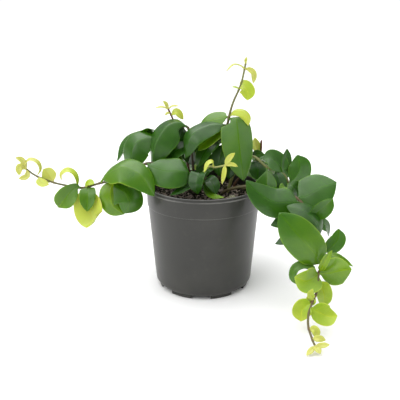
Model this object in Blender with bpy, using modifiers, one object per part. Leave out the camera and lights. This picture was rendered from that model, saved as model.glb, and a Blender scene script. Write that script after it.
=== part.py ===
"""A lipstick plant in a round nursery pot: the pot, its soil, and each leafy stem as one solid.

Everything is designed in millimetres about the pot's axis, with the floor at z = 0, and the whole
plant is then moved so that its box stands centred on the origin.
"""

import math
import random
from typing import NamedTuple

import bmesh
import bpy
import numpy as np
from mathutils import Vector

MM = 0.001
GAP = 0.3  # clearance between touching pieces
COLLECTION = "potted_lipstick_plant"

# Pot
RIM_RADIUS = 60.0
POT_HEIGHT = 111.0  # top of the bead that stands on the collar
EDGE_Z = 108.0  # top of the collar's outer edge
COLLAR_Z = 91.0  # its lower edge
COLLAR_STEP = 1.1  # how far the collar stands out over the wall
COLLAR_TAPER = 0.3
BEAD_RADIUS = 58.4
BASE_RADIUS = 51.8  # the wall's line, carried down to the floor
MIDDLE_Z = 50.0  # height of the wall's middle point, inside and out
WALL = 1.6
EDGE_ROUND = 0.8
BASE_ROUND = 7.0
BASE_ROUND_Z = 9.5  # height of that round's middle
BASE_ROUND_SWEEP = 60  # degrees that it turns through, down to the foot
FOOT_HEIGHT = 5.0
FOOT_OUTER, FOOT_INNER = 49.0, 44.5
FOOT_BEVEL = 0.6
FLOOR_THICKNESS = 2.0
CORNER_CUT = 5.0  # the inside corner between floor and wall
FOOT_GAPS = 7
FOOT_GAP_HEIGHT = 4.0
FOOT_GAP_DEPTH = 14.0
FOOT_GAP_ANGLE = math.radians(24)
FOOT_TURN = math.radians(-93)  # where the first gap is
DRAIN_RADIUS = 5.0
DRAIN_CIRCLE = 30.0
DRAIN_SIDES = 10
POT_STEPS = 36

# Soil
SOIL_EDGE_Z = 99.0
SOIL_MOUND = 5.0  # how much higher the middle is
SOIL_ROUGH = 1.2
SOIL_RINGS = (12.0, 24.0, 36.0, 48.0)
CHIP_COUNT = 9
CHIP_SIZE = (9.0, 6.0, 3.2)
CHIP_NEAREST, CHIP_FURTHEST = 12.0, 50.0
CHIP_TILT = 0.5
CHIP_RISE = 0.4

# Leaves and stems
BLADE = 1.0  # thickness
STALK_WIDTH = 2.2
STALK_SHARE = 0.08  # of a leaf's length
TIP_WIDTH = 1.8
OVAL_BULGE, OVAL_ENDS = 2.3, 0.6  # how full the blade's outline is, along it and at its ends
TIP_TAPER = 0.5
# Steps along and across the blade of a tiny, a narrow and a broad leaf, each kind up to a width
LEAF_GRIDS = ((7.0, 3, 2), (20.0, 4, 2), (math.inf, 5, 4))
TIP_INSET = 0.1  # the last leaves grow this far under the stem's end, in steps of its points
STEM_ROUNDNESS = 1  # bevel resolution of a stem
CURVE_DRAWS = 12  # points drawn between two given ones, before they are spaced evenly
SHARP = math.radians(40)


class Leaf(NamedTuple):
    """One leaf, in millimetres from its node.

    at: where it grows, counted along the stem's own points.
    rib: places on the midrib after the node.
    width: the blade's full width.
    face: where the upper side looks, half way along the rib.
    cup: how far the edges rise (or droop, below 0), as a share of the half width.
    widest: where along the rib the blade is widest.
    """

    at: float
    rib: tuple
    width: float
    face: tuple
    cup: float = 0.25
    widest: float = 0.45


class Stem(NamedTuple):
    """One stem: the points it runs through, its radius at root and tip, its colour and its leaves."""

    path: tuple
    radii: tuple
    colour: tuple
    leaves: tuple


STEMS = {
    "left_trailing_stem": Stem(
        path=(
            (-14, -4, 90), (-15, -4, 106), (-30, -9, 128), (-57, -18, 137), (-89, -28, 123),
            (-103, -30, 120), (-116, -30, 116), (-124, -30, 115), (-145, -30, 119), (-160, -30, 124),
            (-168, -30, 128), (-177, -30, 135),
        ),
        radii=(1.7, 0.85),
        colour=(0.12, 0.22, 0.04),
        leaves=(
            Leaf(3, ((5, -8, -1), (18, -13, -4), (32, -15, -4), (42, -12, -6), (43, -5, -10)), 34,
                 (0.1, -0.8, 0.6), cup=-0.3, widest=0.5),
            Leaf(5, ((9, -4, 12), (25, -10, 19), (43, -15, 11), (55, -19, -8)), 34, (0.1, -0.6, 0.8),
                 cup=-0.3),
            Leaf(4, ((-4, -8, -12), (-2, -10, -25), (4, -8, -33)), 21, (-0.3, 0.9, 0.1), cup=0.4),
            Leaf(4.3, ((15, -6, -9), (25, -9, -20), (27, -9, -32)), 31, (0.3, -0.9, 0.3), cup=-0.4),
            Leaf(6, ((-1, -4, -12), (-1, -8, -25), (3, -14, -36), (7, -20, -32)), 30, (-0.1, 0.9, 0.3),
                 cup=-0.35),
            Leaf(6.4, ((4, 0, 5), (10, -3, 5)), 8, (0, -0.6, 0.8)),
            Leaf(7.1, ((-4, -4, 2), (-10, -6, -3), (-16, -8, -10), (-22, -9, -18)), 22, (0.3, -1, 0.2),
                 cup=0.5, widest=0.6),
            Leaf(8.3, ((-3, 2, 4), (-6, 3, 9), (-10, 3, 13)), 16, (0, -1, 0.2)),
            Leaf(10.9, ((0, 0, 6), (5, 0, 10), (12, 0, 7), (14, 0, 0), (11, -1, -6)), 6, (0, -0.3, 1)),
            Leaf(9.5, ((3, -4, -4), (11, -6, -6)), 9, (0, -0.8, 0.6)),
            Leaf(11, ((-3, 0, 9), (-9, -1, 12)), 6, (0, -0.9, 0.4)),
            Leaf(11, ((-5, -3, 3), (-6, -5, -5)), 7, (0, -1, 0.2)),
            Leaf(10.8, ((0, -3, -6), (-8, -4, -8)), 6, (-0.2, -0.9, 0.3)),
            Leaf(6, ((1, -7, -6), (0, -12, -22)), 17, (0, -1, 0.2), widest=0.3),
            Leaf(7.5, ((2, 1, 9), (-2, 1, 17), (-9, 0, 17), (-13, -1, 12), (-12, -2, 5)), 8,
                 (-0.2, -0.4, 0.9)),
        ),
    ),
    "back_left_stem": Stem(
        path=((-10, 8, 90), (-10, 8, 106), (-12, 6, 140), (-16, 2, 170), (-30, 8, 166), (-50, 12, 156)),
        radii=(1.6, 1),
        colour=(0.05, 0.13, 0.03),
        leaves=(
            Leaf(3, ((-10, -2, 6), (-22, -6, 1), (-32, -9, -13), (-37, -10, -38)), 39, (-0.4, -0.7, 0.6),
                 cup=-0.4),
            Leaf(5, ((-12, -4, 1), (-25, -8, -7), (-31, -10, -34)), 36, (-0.35, -0.75, 0.55), cup=-0.3),
            Leaf(4.5, ((-10, 14, 2), (-24, 22, -6), (-32, 26, -20)), 28, (-0.5, 0.4, 0.8)),
            Leaf(5, ((-16, 8, -2), (-34, 12, -10), (-46, 12, -28)), 26, (-0.4, -0.4, 0.8)),
            Leaf(2.4, ((-8, -4, -4), (-18, -8, -10), (-24, -10, -24)), 20, (-0.3, -0.7, 0.6)),
            Leaf(3.4, ((-2, 4, -8), (-6, 4, -20), (-6, 3, -32)), 20, (-0.1, -0.9, 0.3)),
        ),
    ),
    "red_tip_stem": Stem(
        path=(
            (-14, 28, 90), (-14, 28, 106), (-20, 27, 138), (-27, 24, 160), (-32, 23, 174), (-38, 22, 188),
        ),
        radii=(1.5, 0.8),
        colour=(0.16, 0.14, 0.04),
        leaves=(
            Leaf(4.4, ((6, -2, 4), (13, -3, -4)), 8, (0, -0.8, 0.6)),
            Leaf(5, ((-6, 0, 2), (-13, -1, 1)), 3, (0, -0.5, 0.9)),
            Leaf(5, ((-2, 0, 5), (-5, 0, 8)), 4, (0, -0.9, 0.4)),
            Leaf(5, ((5, 0, 3), (11, -1, 3)), 3, (0, -0.5, 0.9)),
            Leaf(2.6, ((-2, 13, 3), (-6, 26, -1), (-12, 34, -16)), 28, (-0.1, 0.5, 0.8)),
            Leaf(4.6, ((-2, -2, 0), (-5, -3, -2)), 3, (0, -0.8, 0.6)),
            Leaf(1.6, ((2, -5, 8), (5, -9, 15), (8, -11, 22)), 16, (0, -0.8, 0.5)),
        ),
    ),
    "centre_upright_stem": Stem(
        path=(
            (14, 2, 90), (14, 2, 106), (20, 0, 147), (26, -2, 182), (30, 0, 196), (36, 0, 210),
            (39, 0, 220), (42, 0, 236),
        ),
        radii=(1.8, 0.8),
        colour=(0.06, 0.16, 0.02),
        leaves=(
            Leaf(2.9, ((7, -10, 1), (10, -19, -22), (15, -25, -58)), 34, (0.1, -0.9, 0.4), cup=-0.35),
            Leaf(2.7, ((-18, -7, 1), (-37, -13, -9), (-43, -12, -32)), 27, (-0.4, -0.6, 0.7), cup=-0.2),
            Leaf(3, ((-10, 4, -2), (-22, 6, -7), (-30, 6, -18)), 22, (-0.3, -0.6, 0.7), cup=-0.2),
            Leaf(3, ((6, 0, 5), (13, -2, 5), (18, -5, 0), (19, -7, -8)), 12, (0.3, -0.7, 0.6), cup=-0.4),
            Leaf(5, ((4, -2, 2), (8, -4, -3), (8, -6, -11)), 16, (0.1, -1, 0.3), widest=0.4),
            Leaf(6.6, ((-4, 0, 3), (-11, -1, 4), (-18, -2, -2)), 4, (0, -0.2, 1)),
            Leaf(6.6, ((5, 0, -1), (9, -1, -5), (9, -2, -14)), 7, (0.4, -0.8, 0.4)),
            Leaf(7, ((0, 0, 3), (1, 0, 6)), 3, (0, -1, 0)),
            Leaf(2.2, ((4, 14, 10), (8, 27, 8), (12, 36, -10)), 30, (0.1, 0.6, 0.8)),
            Leaf(2.3, ((-9, -3, -2), (-20, -6, -12), (-28, -8, -28)), 20, (-0.3, -0.6, 0.7)),
            Leaf(1.9, ((-8, 8, 4), (-18, 12, 2), (-26, 14, -10)), 22, (-0.3, 0.3, 0.9)),
            Leaf(2.6, ((-9, -4, -4), (-20, -8, -12), (-29, -10, -21)), 15, (-0.2, -0.8, 0.5)),
            Leaf(2.2, ((-2, -4, -6), (-5, -7, -16), (-4, -9, -27)), 12, (-0.4, -0.9, 0.2)),
            Leaf(2.5, ((-12, 7, 0), (-25, 9, -6), (-32, 9, -24)), 24, (-0.2, -0.8, 0.5)),
            Leaf(5, ((-3, 0, 1), (-7, -1, 2)), 3, (0, -0.5, 0.9)),
            Leaf(1.6, ((-8, -4, 4), (-16, -7, 0), (-20, -8, -12)), 18, (-0.2, -0.9, 0.4)),
            Leaf(1.8, ((4, -6, 0), (8, -10, -8), (8, -11, -20)), 16, (0.2, -0.9, 0.3)),
        ),
    ),
    "front_star_shoot": Stem(
        path=((2, -14, 90), (2, -14, 106), (-1, -24, 126), (5, -32, 137), (12, -37, 138), (22, -41, 141)),
        radii=(1.5, 0.9),
        colour=(0.3, 0.36, 0.05),
        leaves=(
            Leaf(5, ((4, -2, 8), (9, -3, 13)), 6, (-0.2, -1, 0.2), cup=0.5),
            Leaf(5, ((6, -3, 2), (12, -4, 0)), 4, (0, -1, 0.3)),
            Leaf(5, ((-1, -4, -6), (-3, -6, -17)), 5, (0, -1, 0.2), cup=0.5, widest=0.35),
            Leaf(3.7, ((-1, -2, 6), (-6, -4, 4), (-9, -5, -4)), 5, (0, -0.6, 0.8)),
            Leaf(2, ((-3, -9, 5), (-6, -14, -3), (-5, -15, -15)), 18, (-0.5, -0.8, 0.3)),
            Leaf(1.5, ((-14, -12, 1), (-26, -18, -4), (-33, -21, -6)), 12, (-0.2, -0.5, 0.9)),
            Leaf(1.5, ((4, -14, -4), (10, -26, -9), (17, -31, -10)), 8, (0, -0.6, 0.8)),
            Leaf(1.6, ((5, -7, 4), (10, -12, 0), (13, -15, -9)), 14, (0.3, -0.8, 0.4)),
        ),
    ),
    "right_upright_stub": Stem(
        path=((34, 16, 90), (34, 16, 106), (52, 20, 125), (61, 20, 138), (62, 20, 154)),
        radii=(1.3, 1.1),
        colour=(0.09, 0.13, 0.04),
        leaves=(
            Leaf(3, ((-6, 2, 9), (-9, 3, 15), (-7, 3, 21)), 9, (0.3, -0.9, 0.2)),
            Leaf(2.6, ((-4, 10, 0), (-8, 18, -4), (-15, 23, -14)), 18, (0.2, 0.4, 0.9)),
            Leaf(2, ((16, 6, 8), (30, 10, 8), (38, 12, -4)), 22, (0.1, 0.2, 0.9)),
            Leaf(2.4, ((2, -5, -2), (5, -9, -9), (5, -10, -20)), 18, (0.1, -0.9, 0.4)),
            Leaf(2.8, ((-5, -4, 4), (-3, -8, 9), (5, -10, 8)), 9, (0, -0.7, 0.7)),
        ),
    ),
    "right_arching_stem": Stem(
        path=(
            (26, -6, 90), (26, -6, 106), (36, -8, 132), (50, -12, 143), (64, -20, 134), (80, -26, 128),
            (86, -28, 118),
        ),
        radii=(1.6, 1.2),
        colour=(0.05, 0.14, 0.03),
        leaves=(
            Leaf(4, ((0, -6, -10), (-1, -10, -24)), 22, (-0.3, -0.9, 0.3)),
            Leaf(5, ((-4, 3, 8), (-12, 6, 15), (-20, 8, 14)), 22, (0.3, -0.8, 0.5)),
            Leaf(6, ((8, 3, 8), (12, 6, 18), (10, 8, 30)), 22, (0.1, -1, 0.2)),
            Leaf(5.6, ((-1, 6, 12), (0, 10, 30)), 13, (0.4, -0.9, 0.1)),
            Leaf(6, ((-4, -4, -2), (-10, -8, -4)), 8, (0, -0.8, 0.6)),
            Leaf(4.5, ((2, -4, -6), (4, -7, -16), (3, -8, -26)), 16, (-0.2, -0.9, 0.3)),
            Leaf(6, ((4, -3, -2), (8, -3, -7), (9, -3, -14)), 12, (0.2, -0.8, 0.5)),
        ),
    ),
    "right_trailing_stem": Stem(
        path=(
            (20, -18, 90), (20, -18, 106), (44, -32, 117), (68, -40, 113), (91, -46, 109), (104, -58, 92),
            (113, -70, 72), (115, -80, 56), (108, -88, 48), (105, -100, 36), (97, -112, 26),
            (93, -126, 17), (95, -138, 9), (97, -144, 5),
        ),
        radii=(1.8, 0.95),
        colour=(0.1, 0.22, 0.03),
        leaves=(
            Leaf(4, ((-13, -5, 1), (-27, -6, 0), (-43, -4, 9), (-51, -1, 17)), 28, (-0.2, -0.8, 0.6),
                 cup=-0.25),
            Leaf(4, ((11, 2, 2), (22, 5, 8), (40, 8, 14)), 38, (0.1, -0.7, 0.7), cup=-0.2),
            Leaf(5, ((8, -3, 10), (15, -4, 17), (19, -3, 21)), 18, (-0.3, -0.9, 0.2), cup=0.4),
            Leaf(5.8, ((-4, 0, 15), (-17, 5, 26), (-32, 9, 29)), 26, (0.3, -0.7, 0.8), cup=-0.2),
            Leaf(7.3, ((-10, -5, 18), (-27, -5, 37), (-44, 1, 54)), 37, (-0.1, -0.9, 0.4), cup=-0.25),
            Leaf(6.5, ((7, 0, 6), (13, 0, 13), (14, 1, 23)), 16, (0.3, -0.9, 0.3)),
            Leaf(8, ((9, -5, 3), (18, -8, 7), (28, -9, 9)), 27, (0.1, -0.9, 0.4), cup=-0.35),
            Leaf(8, ((-6, -6, -2), (-14, -9, -3), (-24, -9, 1)), 25, (0, -1, 0.3), cup=0.5),
            Leaf(8.4, ((4, -3, -7), (6, -5, -15), (5, -7, -24)), 17, (0.3, -0.9, 0.2)),
            Leaf(9.8, ((-4, -2, 0), (-9, -4, -5), (-10, -7, -14)), 18, (-0.3, -0.9, 0.2)),
            Leaf(10, ((8, -2, -4), (16, -4, -7), (24, -5, -6)), 20, (0.1, -0.9, 0.4)),
            Leaf(11.3, ((5, -2, 0), (8, -3, -7)), 8, (0.1, -0.9, 0.4)),
            Leaf(12, ((5, -2, 2), (11, -3, 1)), 6, (0.1, -0.8, 0.5)),
            Leaf(13, ((-4, -4, -1), (-9, -9, -3)), 5, (0, -0.5, 0.9)),
            Leaf(13, ((5, -3, 3), (11, -5, 5)), 5, (0, -0.8, 0.6)),
            Leaf(13, ((1, -4, 0), (3, -8, -2)), 6, (0, -0.5, 0.9)),
            Leaf(5.6, ((-14, 5, 8), (-30, 10, 8), (-44, 14, 3)), 22, (0, -0.6, 0.8)),
            Leaf(4.7, ((-10, 2, 0), (-22, 5, -3), (-36, 8, -6)), 14, (0, -0.7, 0.7)),
            Leaf(9.6, ((-3, -1, 8), (-1, -2, 13)), 7, (0, -0.9, 0.4)),
            Leaf(6.8, ((8, -3, 5), (17, -6, 1), (25, -8, -4)), 6, (0.2, -0.8, 0.5)),
            Leaf(8.1, ((-6, 3, 6), (-13, 4, 9), (-21, 4, 5), (-23, 2, -4), (-16, 0, -11)), 9,
                 (-0.5, -0.7, 0.5)),
            Leaf(7.8, ((1, -6, 8), (4, -8, 17), (8, -9, 25)), 8, (-0.3, -0.9, 0.3), cup=0.7),
            Leaf(9.3, ((-4, -3, -2), (-7, -5, -8)), 10, (0, -0.9, 0.4)),
            Leaf(6.2, ((-14, 6, 4), (-30, 9, 4), (-44, 10, -1)), 16, (0, -0.6, 0.8)),
            Leaf(5.4, ((6, 4, 2), (12, 8, -2), (16, 10, -12)), 14, (0.6, -0.6, 0.5)),
        ),
    ),
    "back_stem": Stem(
        path=((2, 30, 90), (2, 30, 106), (2, 46, 120), (0, 62, 120), (-2, 72, 106)),
        radii=(1.6, 1),
        colour=(0.05, 0.14, 0.03),
        leaves=(
            Leaf(2, ((12, 3, 5), (24, 7, 0), (30, 10, -14)), 28, (0.2, 0.5, 0.8)),
            Leaf(2.4, ((-13, -2, 5), (-27, -2, 0), (-38, -2, -14)), 28, (-0.2, 0.4, 0.8)),
            Leaf(3, ((12, 6, 2), (24, 14, -8), (30, 18, -24)), 30, (0.3, 0.8, 0.5)),
            Leaf(3.4, ((-12, 4, 0), (-24, 10, -10), (-30, 12, -24)), 28, (-0.3, 0.8, 0.5)),
            Leaf(4, ((3, 8, -10), (5, 11, -22), (3, 10, -34)), 24, (0.1, 0.9, 0.2)),
            Leaf(4, ((-6, 5, 3), (-12, 8, -4)), 9, (0, 0.8, 0.6)),
        ),
    ),
    "back_right_stem": Stem(
        path=((30, 34, 90), (30, 34, 106), (42, 48, 120), (52, 60, 121), (60, 70, 106)),
        radii=(1.5, 1),
        colour=(0.06, 0.15, 0.03),
        leaves=(
            Leaf(2.4, ((14, 0, 3), (28, 2, -3), (35, 4, -17)), 26, (0.5, 0.1, 0.8)),
            Leaf(2.8, ((-4, 12, 6), (-9, 24, 2), (-12, 33, -14)), 28, (-0.1, 0.6, 0.7)),
            Leaf(3.3, ((12, 4, 2), (22, 9, -8), (26, 12, -24)), 28, (0.6, 0.4, 0.6)),
            Leaf(4, ((0, 10, -8), (0, 14, -20), (-3, 13, -32)), 24, (0.1, 0.9, 0.3)),
            Leaf(4, ((4, 5, 5), (9, 8, 0)), 9, (0.3, 0.3, 0.9)),
        ),
    ),
}


def material(name, colour, roughness):
    """A Principled material in one colour, not metallic."""
    made = bpy.data.materials.new(name)
    made.use_nodes = True
    shader = made.node_tree.nodes["Principled BSDF"]
    shader.inputs["Base Color"].default_value = (*colour, 1)
    shader.inputs["Roughness"].default_value = roughness
    shader.inputs["Metallic"].default_value = 0
    return made


def add_object(name, data, collection, finish=None):
    """A new object for this data in this collection."""
    obj = bpy.data.objects.new(name, data)
    collection.objects.link(obj)
    if finish:
        data.materials.append(finish)
    return obj


def baked(obj, name, collection, finish=None):
    """The object's evaluated shape as a new plain mesh object, in the world's own axes."""
    bpy.context.view_layer.update()
    shape = obj.evaluated_get(bpy.context.evaluated_depsgraph_get())
    mesh = bpy.data.meshes.new_from_object(shape)
    mesh.transform(obj.matrix_world)
    mesh.materials.clear()
    return add_object(name, mesh, collection, finish)


def remove(objects):
    """Deletes these objects."""
    for obj in list(objects):
        bpy.data.objects.remove(obj)


def take_new(name, collection):
    """Names the object that an operator has just made, and moves it into this collection."""
    obj = bpy.context.object
    obj.name = name
    for home in list(obj.users_collection):
        home.objects.unlink(obj)
    collection.objects.link(obj)
    return obj


def boolean(obj, operation, collection):
    """A Boolean between an object and all that a collection holds."""
    cut = obj.modifiers.new(operation.lower(), "BOOLEAN")
    cut.operation = operation
    cut.operand_type = "COLLECTION"
    cut.collection = collection


def revolve(name, section, collection, finish=None):
    """A section of (radius, height) points in millimetres, turned about the vertical axis."""
    mesh = bpy.data.meshes.new(name)
    points = [(radius * MM, 0, height * MM) for radius, height in section]
    mesh.from_pydata(points, [(i, i + 1) for i in range(len(points) - 1)], [])
    obj = add_object(name, mesh, collection, finish)
    screw = obj.modifiers.new("turn", "SCREW")
    screw.steps = screw.render_steps = POT_STEPS
    screw.use_merge_vertices = True
    screw.merge_threshold = 0.0001
    return obj


def arc(centre, radius, start, end, count):
    """Points (r, z) on an arc of the section, angles in degrees from +r."""
    angles = np.radians(np.linspace(start, end, count))
    return [(centre[0] + radius * math.cos(a), centre[1] + radius * math.sin(a)) for a in angles]


def wall_radius(z):
    """The outer radius of the pot's wall under its collar, at this height."""
    top = RIM_RADIUS - COLLAR_STEP
    return BASE_RADIUS + (top - BASE_RADIUS) * z / COLLAR_Z


def inside_section(clear):
    """The pot's inner side from the middle of its floor up to the collar, kept this far off it."""
    floor = FOOT_HEIGHT + FLOOR_THICKNESS + clear
    corner = wall_radius(floor) - WALL - clear
    return [
        (0, floor),
        (corner - CORNER_CUT, floor),
        (corner, floor + CORNER_CUT),
        (wall_radius(MIDDLE_Z) - WALL - clear, MIDDLE_Z),
        (BEAD_RADIUS - WALL - clear, COLLAR_Z),
    ]


def pot_section():
    """The pot's section: up its inside, over the rim, down the outside and under its foot."""
    brim = [(BEAD_RADIUS - WALL, POT_HEIGHT - EDGE_ROUND)]
    bead = arc((BEAD_RADIUS - EDGE_ROUND, POT_HEIGHT - EDGE_ROUND), EDGE_ROUND, 90, 0, 3)
    collar = [
        (BEAD_RADIUS, EDGE_Z),
        (RIM_RADIUS - COLLAR_TAPER, EDGE_Z),
        (RIM_RADIUS, EDGE_Z - EDGE_ROUND),
        (RIM_RADIUS - COLLAR_TAPER, COLLAR_Z),
    ]
    wall = [(wall_radius(COLLAR_Z), COLLAR_Z - FOOT_BEVEL), (wall_radius(MIDDLE_Z), MIDDLE_Z)]
    middle = (wall_radius(BASE_ROUND) - BASE_ROUND, BASE_ROUND_Z)
    lower = arc(middle, BASE_ROUND, 0, -BASE_ROUND_SWEEP, 4)
    foot = [
        (FOOT_OUTER, FOOT_BEVEL),
        (FOOT_OUTER - FOOT_BEVEL, 0),
        (FOOT_INNER, 0),
        (FOOT_INNER, FOOT_HEIGHT),
        (0, FOOT_HEIGHT),
    ]
    return inside_section(0) + brim + bead + collar + wall + lower + foot


def make_pot(collection, cutters):
    """The nursery pot, with gaps in its foot ring and drain holes in its floor."""
    plastic = material("dark_grey_plastic", (0.085, 0.083, 0.075), 0.42)
    pot = revolve("pot", pot_section(), collection, plastic)
    middle = (FOOT_OUTER + FOOT_INNER) / 2
    gap_width = 2 * middle * math.sin(FOOT_GAP_ANGLE / 2)
    for index in range(FOOT_GAPS):
        turn = FOOT_TURN + math.tau * index / FOOT_GAPS
        out = Vector((math.cos(turn), math.sin(turn), 0)) * MM
        bpy.ops.mesh.primitive_cube_add(size=MM, location=out * middle, rotation=(0, 0, turn))
        gap = take_new(f"foot_gap_{index}", cutters)
        gap.scale = (FOOT_GAP_DEPTH, gap_width, 2 * FOOT_GAP_HEIGHT)
        bpy.ops.mesh.primitive_cylinder_add(
            vertices=DRAIN_SIDES, radius=DRAIN_RADIUS * MM, depth=4 * FOOT_HEIGHT * MM,
            location=out * DRAIN_CIRCLE + Vector((0, 0, FOOT_HEIGHT * MM)),
        )
        take_new(f"drain_{index}", cutters)
    for cutter in cutters.objects:
        cutter.hide_render = True
        cutter.display_type = "WIRE"
    boolean(pot, "DIFFERENCE", cutters)
    return pot


def soil_height(x, y):
    """The height of the soil's surface, in millimetres: a low mound with bumps that fade at the wall."""
    reach = min(1.0, math.hypot(x, y) / (BEAD_RADIUS - WALL))
    bumps = math.sin(x * 0.31 + 1.3) * math.cos(y * 0.27) + 0.6 * math.sin(x * 0.73 - y * 0.58)
    return SOIL_EDGE_Z + SOIL_MOUND * (1 - reach**2) + SOIL_ROUGH * bumps * (1 - reach**6)


def add_chips(scratch):
    """Bark chips that lie half sunk in the soil."""
    draw = random.Random(7)
    for index in range(CHIP_COUNT):
        nearest = (CHIP_NEAREST / CHIP_FURTHEST) ** 2
        away = CHIP_FURTHEST * math.sqrt(draw.uniform(nearest, 1))
        around = draw.uniform(0, math.tau)
        x, y = away * math.cos(around), away * math.sin(around)
        bpy.ops.mesh.primitive_cube_add(size=MM)
        chip = take_new(f"chip_{index}", scratch)
        chip.scale = [side * draw.uniform(0.7, 1.15) for side in CHIP_SIZE]
        tilt = [draw.uniform(-CHIP_TILT, CHIP_TILT) for _ in range(2)]
        chip.rotation_euler = (*tilt, draw.uniform(0, math.tau))
        chip.location = Vector((x, y, soil_height(x, y) + CHIP_RISE)) * MM


def make_soil(collection, scratch):
    """Potting soil that fills the pot, with bark chips on it and a plain hole for each stem."""
    earth = material("potting_soil", (0.035, 0.024, 0.016), 0.95)
    sides = inside_section(GAP)
    top = [(radius, SOIL_EDGE_Z) for radius in (0, *SOIL_RINGS, sides[-1][0])]
    turned = revolve("soil_turned", top + sides[::-1], scratch)
    level = baked(turned, "soil_level", collection)
    for vertex in level.data.vertices:
        if vertex.co.z > COLLAR_Z * MM + MM:
            vertex.co.z = soil_height(vertex.co.x / MM, vertex.co.y / MM) * MM
    remove([turned])
    add_chips(scratch)
    boolean(level, "UNION", scratch)
    filled = baked(level, "soil_filled", collection)
    remove([level, *scratch.objects])
    for name, stem in STEMS.items():
        x, y, z = stem.path[0]
        path = ((x, y, z - GAP), *stem.path[1:])
        radii = [radius + GAP for radius in stem.radii]
        add_rod(f"hole_{name}", stem._replace(path=path, radii=radii), scratch)
    boolean(filled, "DIFFERENCE", scratch)
    soil = baked(filled, "soil", collection, earth)
    remove([filled, *scratch.objects])
    return soil


def smooth_path(points, count):
    """Points at even steps along a Catmull-Rom curve through the given ones, with their places in them."""
    given = np.array(points, float)
    ends = np.vstack([2 * given[0] - given[1], given, 2 * given[-1] - given[-2]])
    drawn = []
    marks = []
    for i in range(len(given) - 1):
        a, b, c, d = ends[i : i + 4]
        for t in np.linspace(0, 1, CURVE_DRAWS, endpoint=i == len(given) - 2):
            square = (2 * a - 5 * b + 4 * c - d) * t**2
            cube = (3 * b - a - 3 * c + d) * t**3
            drawn.append((2 * b + (c - a) * t + square + cube) / 2)
            marks.append(i + t)
    drawn = np.array(drawn)
    run = np.concatenate([[0], np.cumsum(np.linalg.norm(np.diff(drawn, axis=0), axis=1))])
    steps = np.linspace(0, run[-1], count)
    even = np.column_stack([np.interp(steps, run, drawn[:, k]) for k in range(3)])
    return even, np.interp(steps, run, marks)


def frames(rib, face):
    """The tangent and the normal at each point of a rib, the normal carried both ways from its middle."""
    tangents = np.gradient(rib, axis=0)
    tangents /= np.linalg.norm(tangents, axis=1)[:, None]
    normals = np.zeros_like(rib)
    middle = len(rib) // 2
    for order in (range(middle, len(rib)), range(middle, -1, -1)):
        normal = np.array(face, float)
        for i in order:
            normal = normal - tangents[i] * normal.dot(tangents[i])
            normal /= np.linalg.norm(normal)
            normals[i] = normal
    return tangents, normals


def half_width(leaf, share):
    """Half the blade's width at this share of its length: a stalk, an oval blade and a point."""
    if share <= STALK_SHARE:
        return STALK_WIDTH / 2
    along = (share - STALK_SHARE) / (1 - STALK_SHARE)
    skew = math.log(0.5) / math.log(leaf.widest)
    oval = (1 - abs(2 * along**skew - 1) ** OVAL_BULGE) ** OVAL_ENDS * (1 - TIP_TAPER * along**9)
    least = (STALK_WIDTH + (TIP_WIDTH - STALK_WIDTH) * along) / 2
    return max(least, leaf.width / 2 * oval)


def add_leaf(name, leaf, node, scratch):
    """A leaf's blade: a grid bent along its rib and cupped, split alike on both faces by Solidify."""
    along, across = next(steps for width, *steps in LEAF_GRIDS if leaf.width <= width)
    along += max(0, len(leaf.rib) - 3)
    rib, _ = smooth_path([node, *(np.array(node) + offset for offset in leaf.rib)], along + 1)
    tangents, normals = frames(rib, leaf.face)
    grid = bmesh.new()
    bmesh.ops.create_grid(grid, x_segments=across, y_segments=along, size=1)
    for vertex in grid.verts:
        share = (vertex.co.y + 1) / 2
        i = round(share * along)
        out = vertex.co.x
        half = half_width(leaf, share)
        reach = half * out * (1 - 0.3 * leaf.cup**2 * abs(out))
        lift = leaf.cup * max(0, half - STALK_WIDTH / 2) * abs(out) ** 1.5
        side = np.cross(tangents[i], normals[i])
        vertex.co = Vector(rib[i] + side * reach + normals[i] * lift) * MM
    bmesh.ops.triangulate(grid, faces=grid.faces)
    mesh = bpy.data.meshes.new(name)
    grid.to_mesh(mesh)
    grid.free()
    blade = add_object(name, mesh, scratch)
    shell = blade.modifiers.new("thickness", "SOLIDIFY")
    shell.thickness = BLADE * MM
    shell.offset = 0


def add_rod(name, stem, collection):
    """The stem itself, as a tapered tube made into a mesh, and the points its leaves grow from."""
    count = 3 + len(stem.path) * 3 // 2
    points, marks = smooth_path(stem.path, count)
    curve = bpy.data.curves.new(name, "CURVE")
    curve.dimensions = "3D"
    curve.bevel_depth = MM
    curve.bevel_resolution = STEM_ROUNDNESS
    curve.use_fill_caps = True
    line = curve.splines.new("POLY")
    line.points.add(count - 1)
    for point, place, radius in zip(line.points, points, np.linspace(*stem.radii, count)):
        point.co = (*(place * MM), 1)
        point.radius = radius
    tube = add_object(f"{name}_tube", curve, collection)
    rod = baked(tube, f"{name}_rod", collection)
    remove([tube])
    welded = bmesh.new()
    welded.from_mesh(rod.data)
    bmesh.ops.remove_doubles(welded, verts=welded.verts, dist=0.01 * MM)
    welded.to_mesh(rod.data)
    welded.free()
    return rod, points, marks


def keep_largest(mesh):
    """Drops loose scraps and closed hollows: only the largest connected surface stays."""
    whole = bmesh.new()
    whole.from_mesh(mesh)
    left = set(whole.verts)
    largest = []
    while left:
        island = [left.pop()]
        for vertex in island:
            near = {edge.other_vert(vertex) for edge in vertex.link_edges} & left
            left -= near
            island.extend(near)
        if len(island) > len(largest):
            largest = island
    others = set(whole.verts) - set(largest)
    bmesh.ops.delete(whole, geom=list(others), context="VERTS")
    whole.to_mesh(mesh)
    whole.free()


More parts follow.
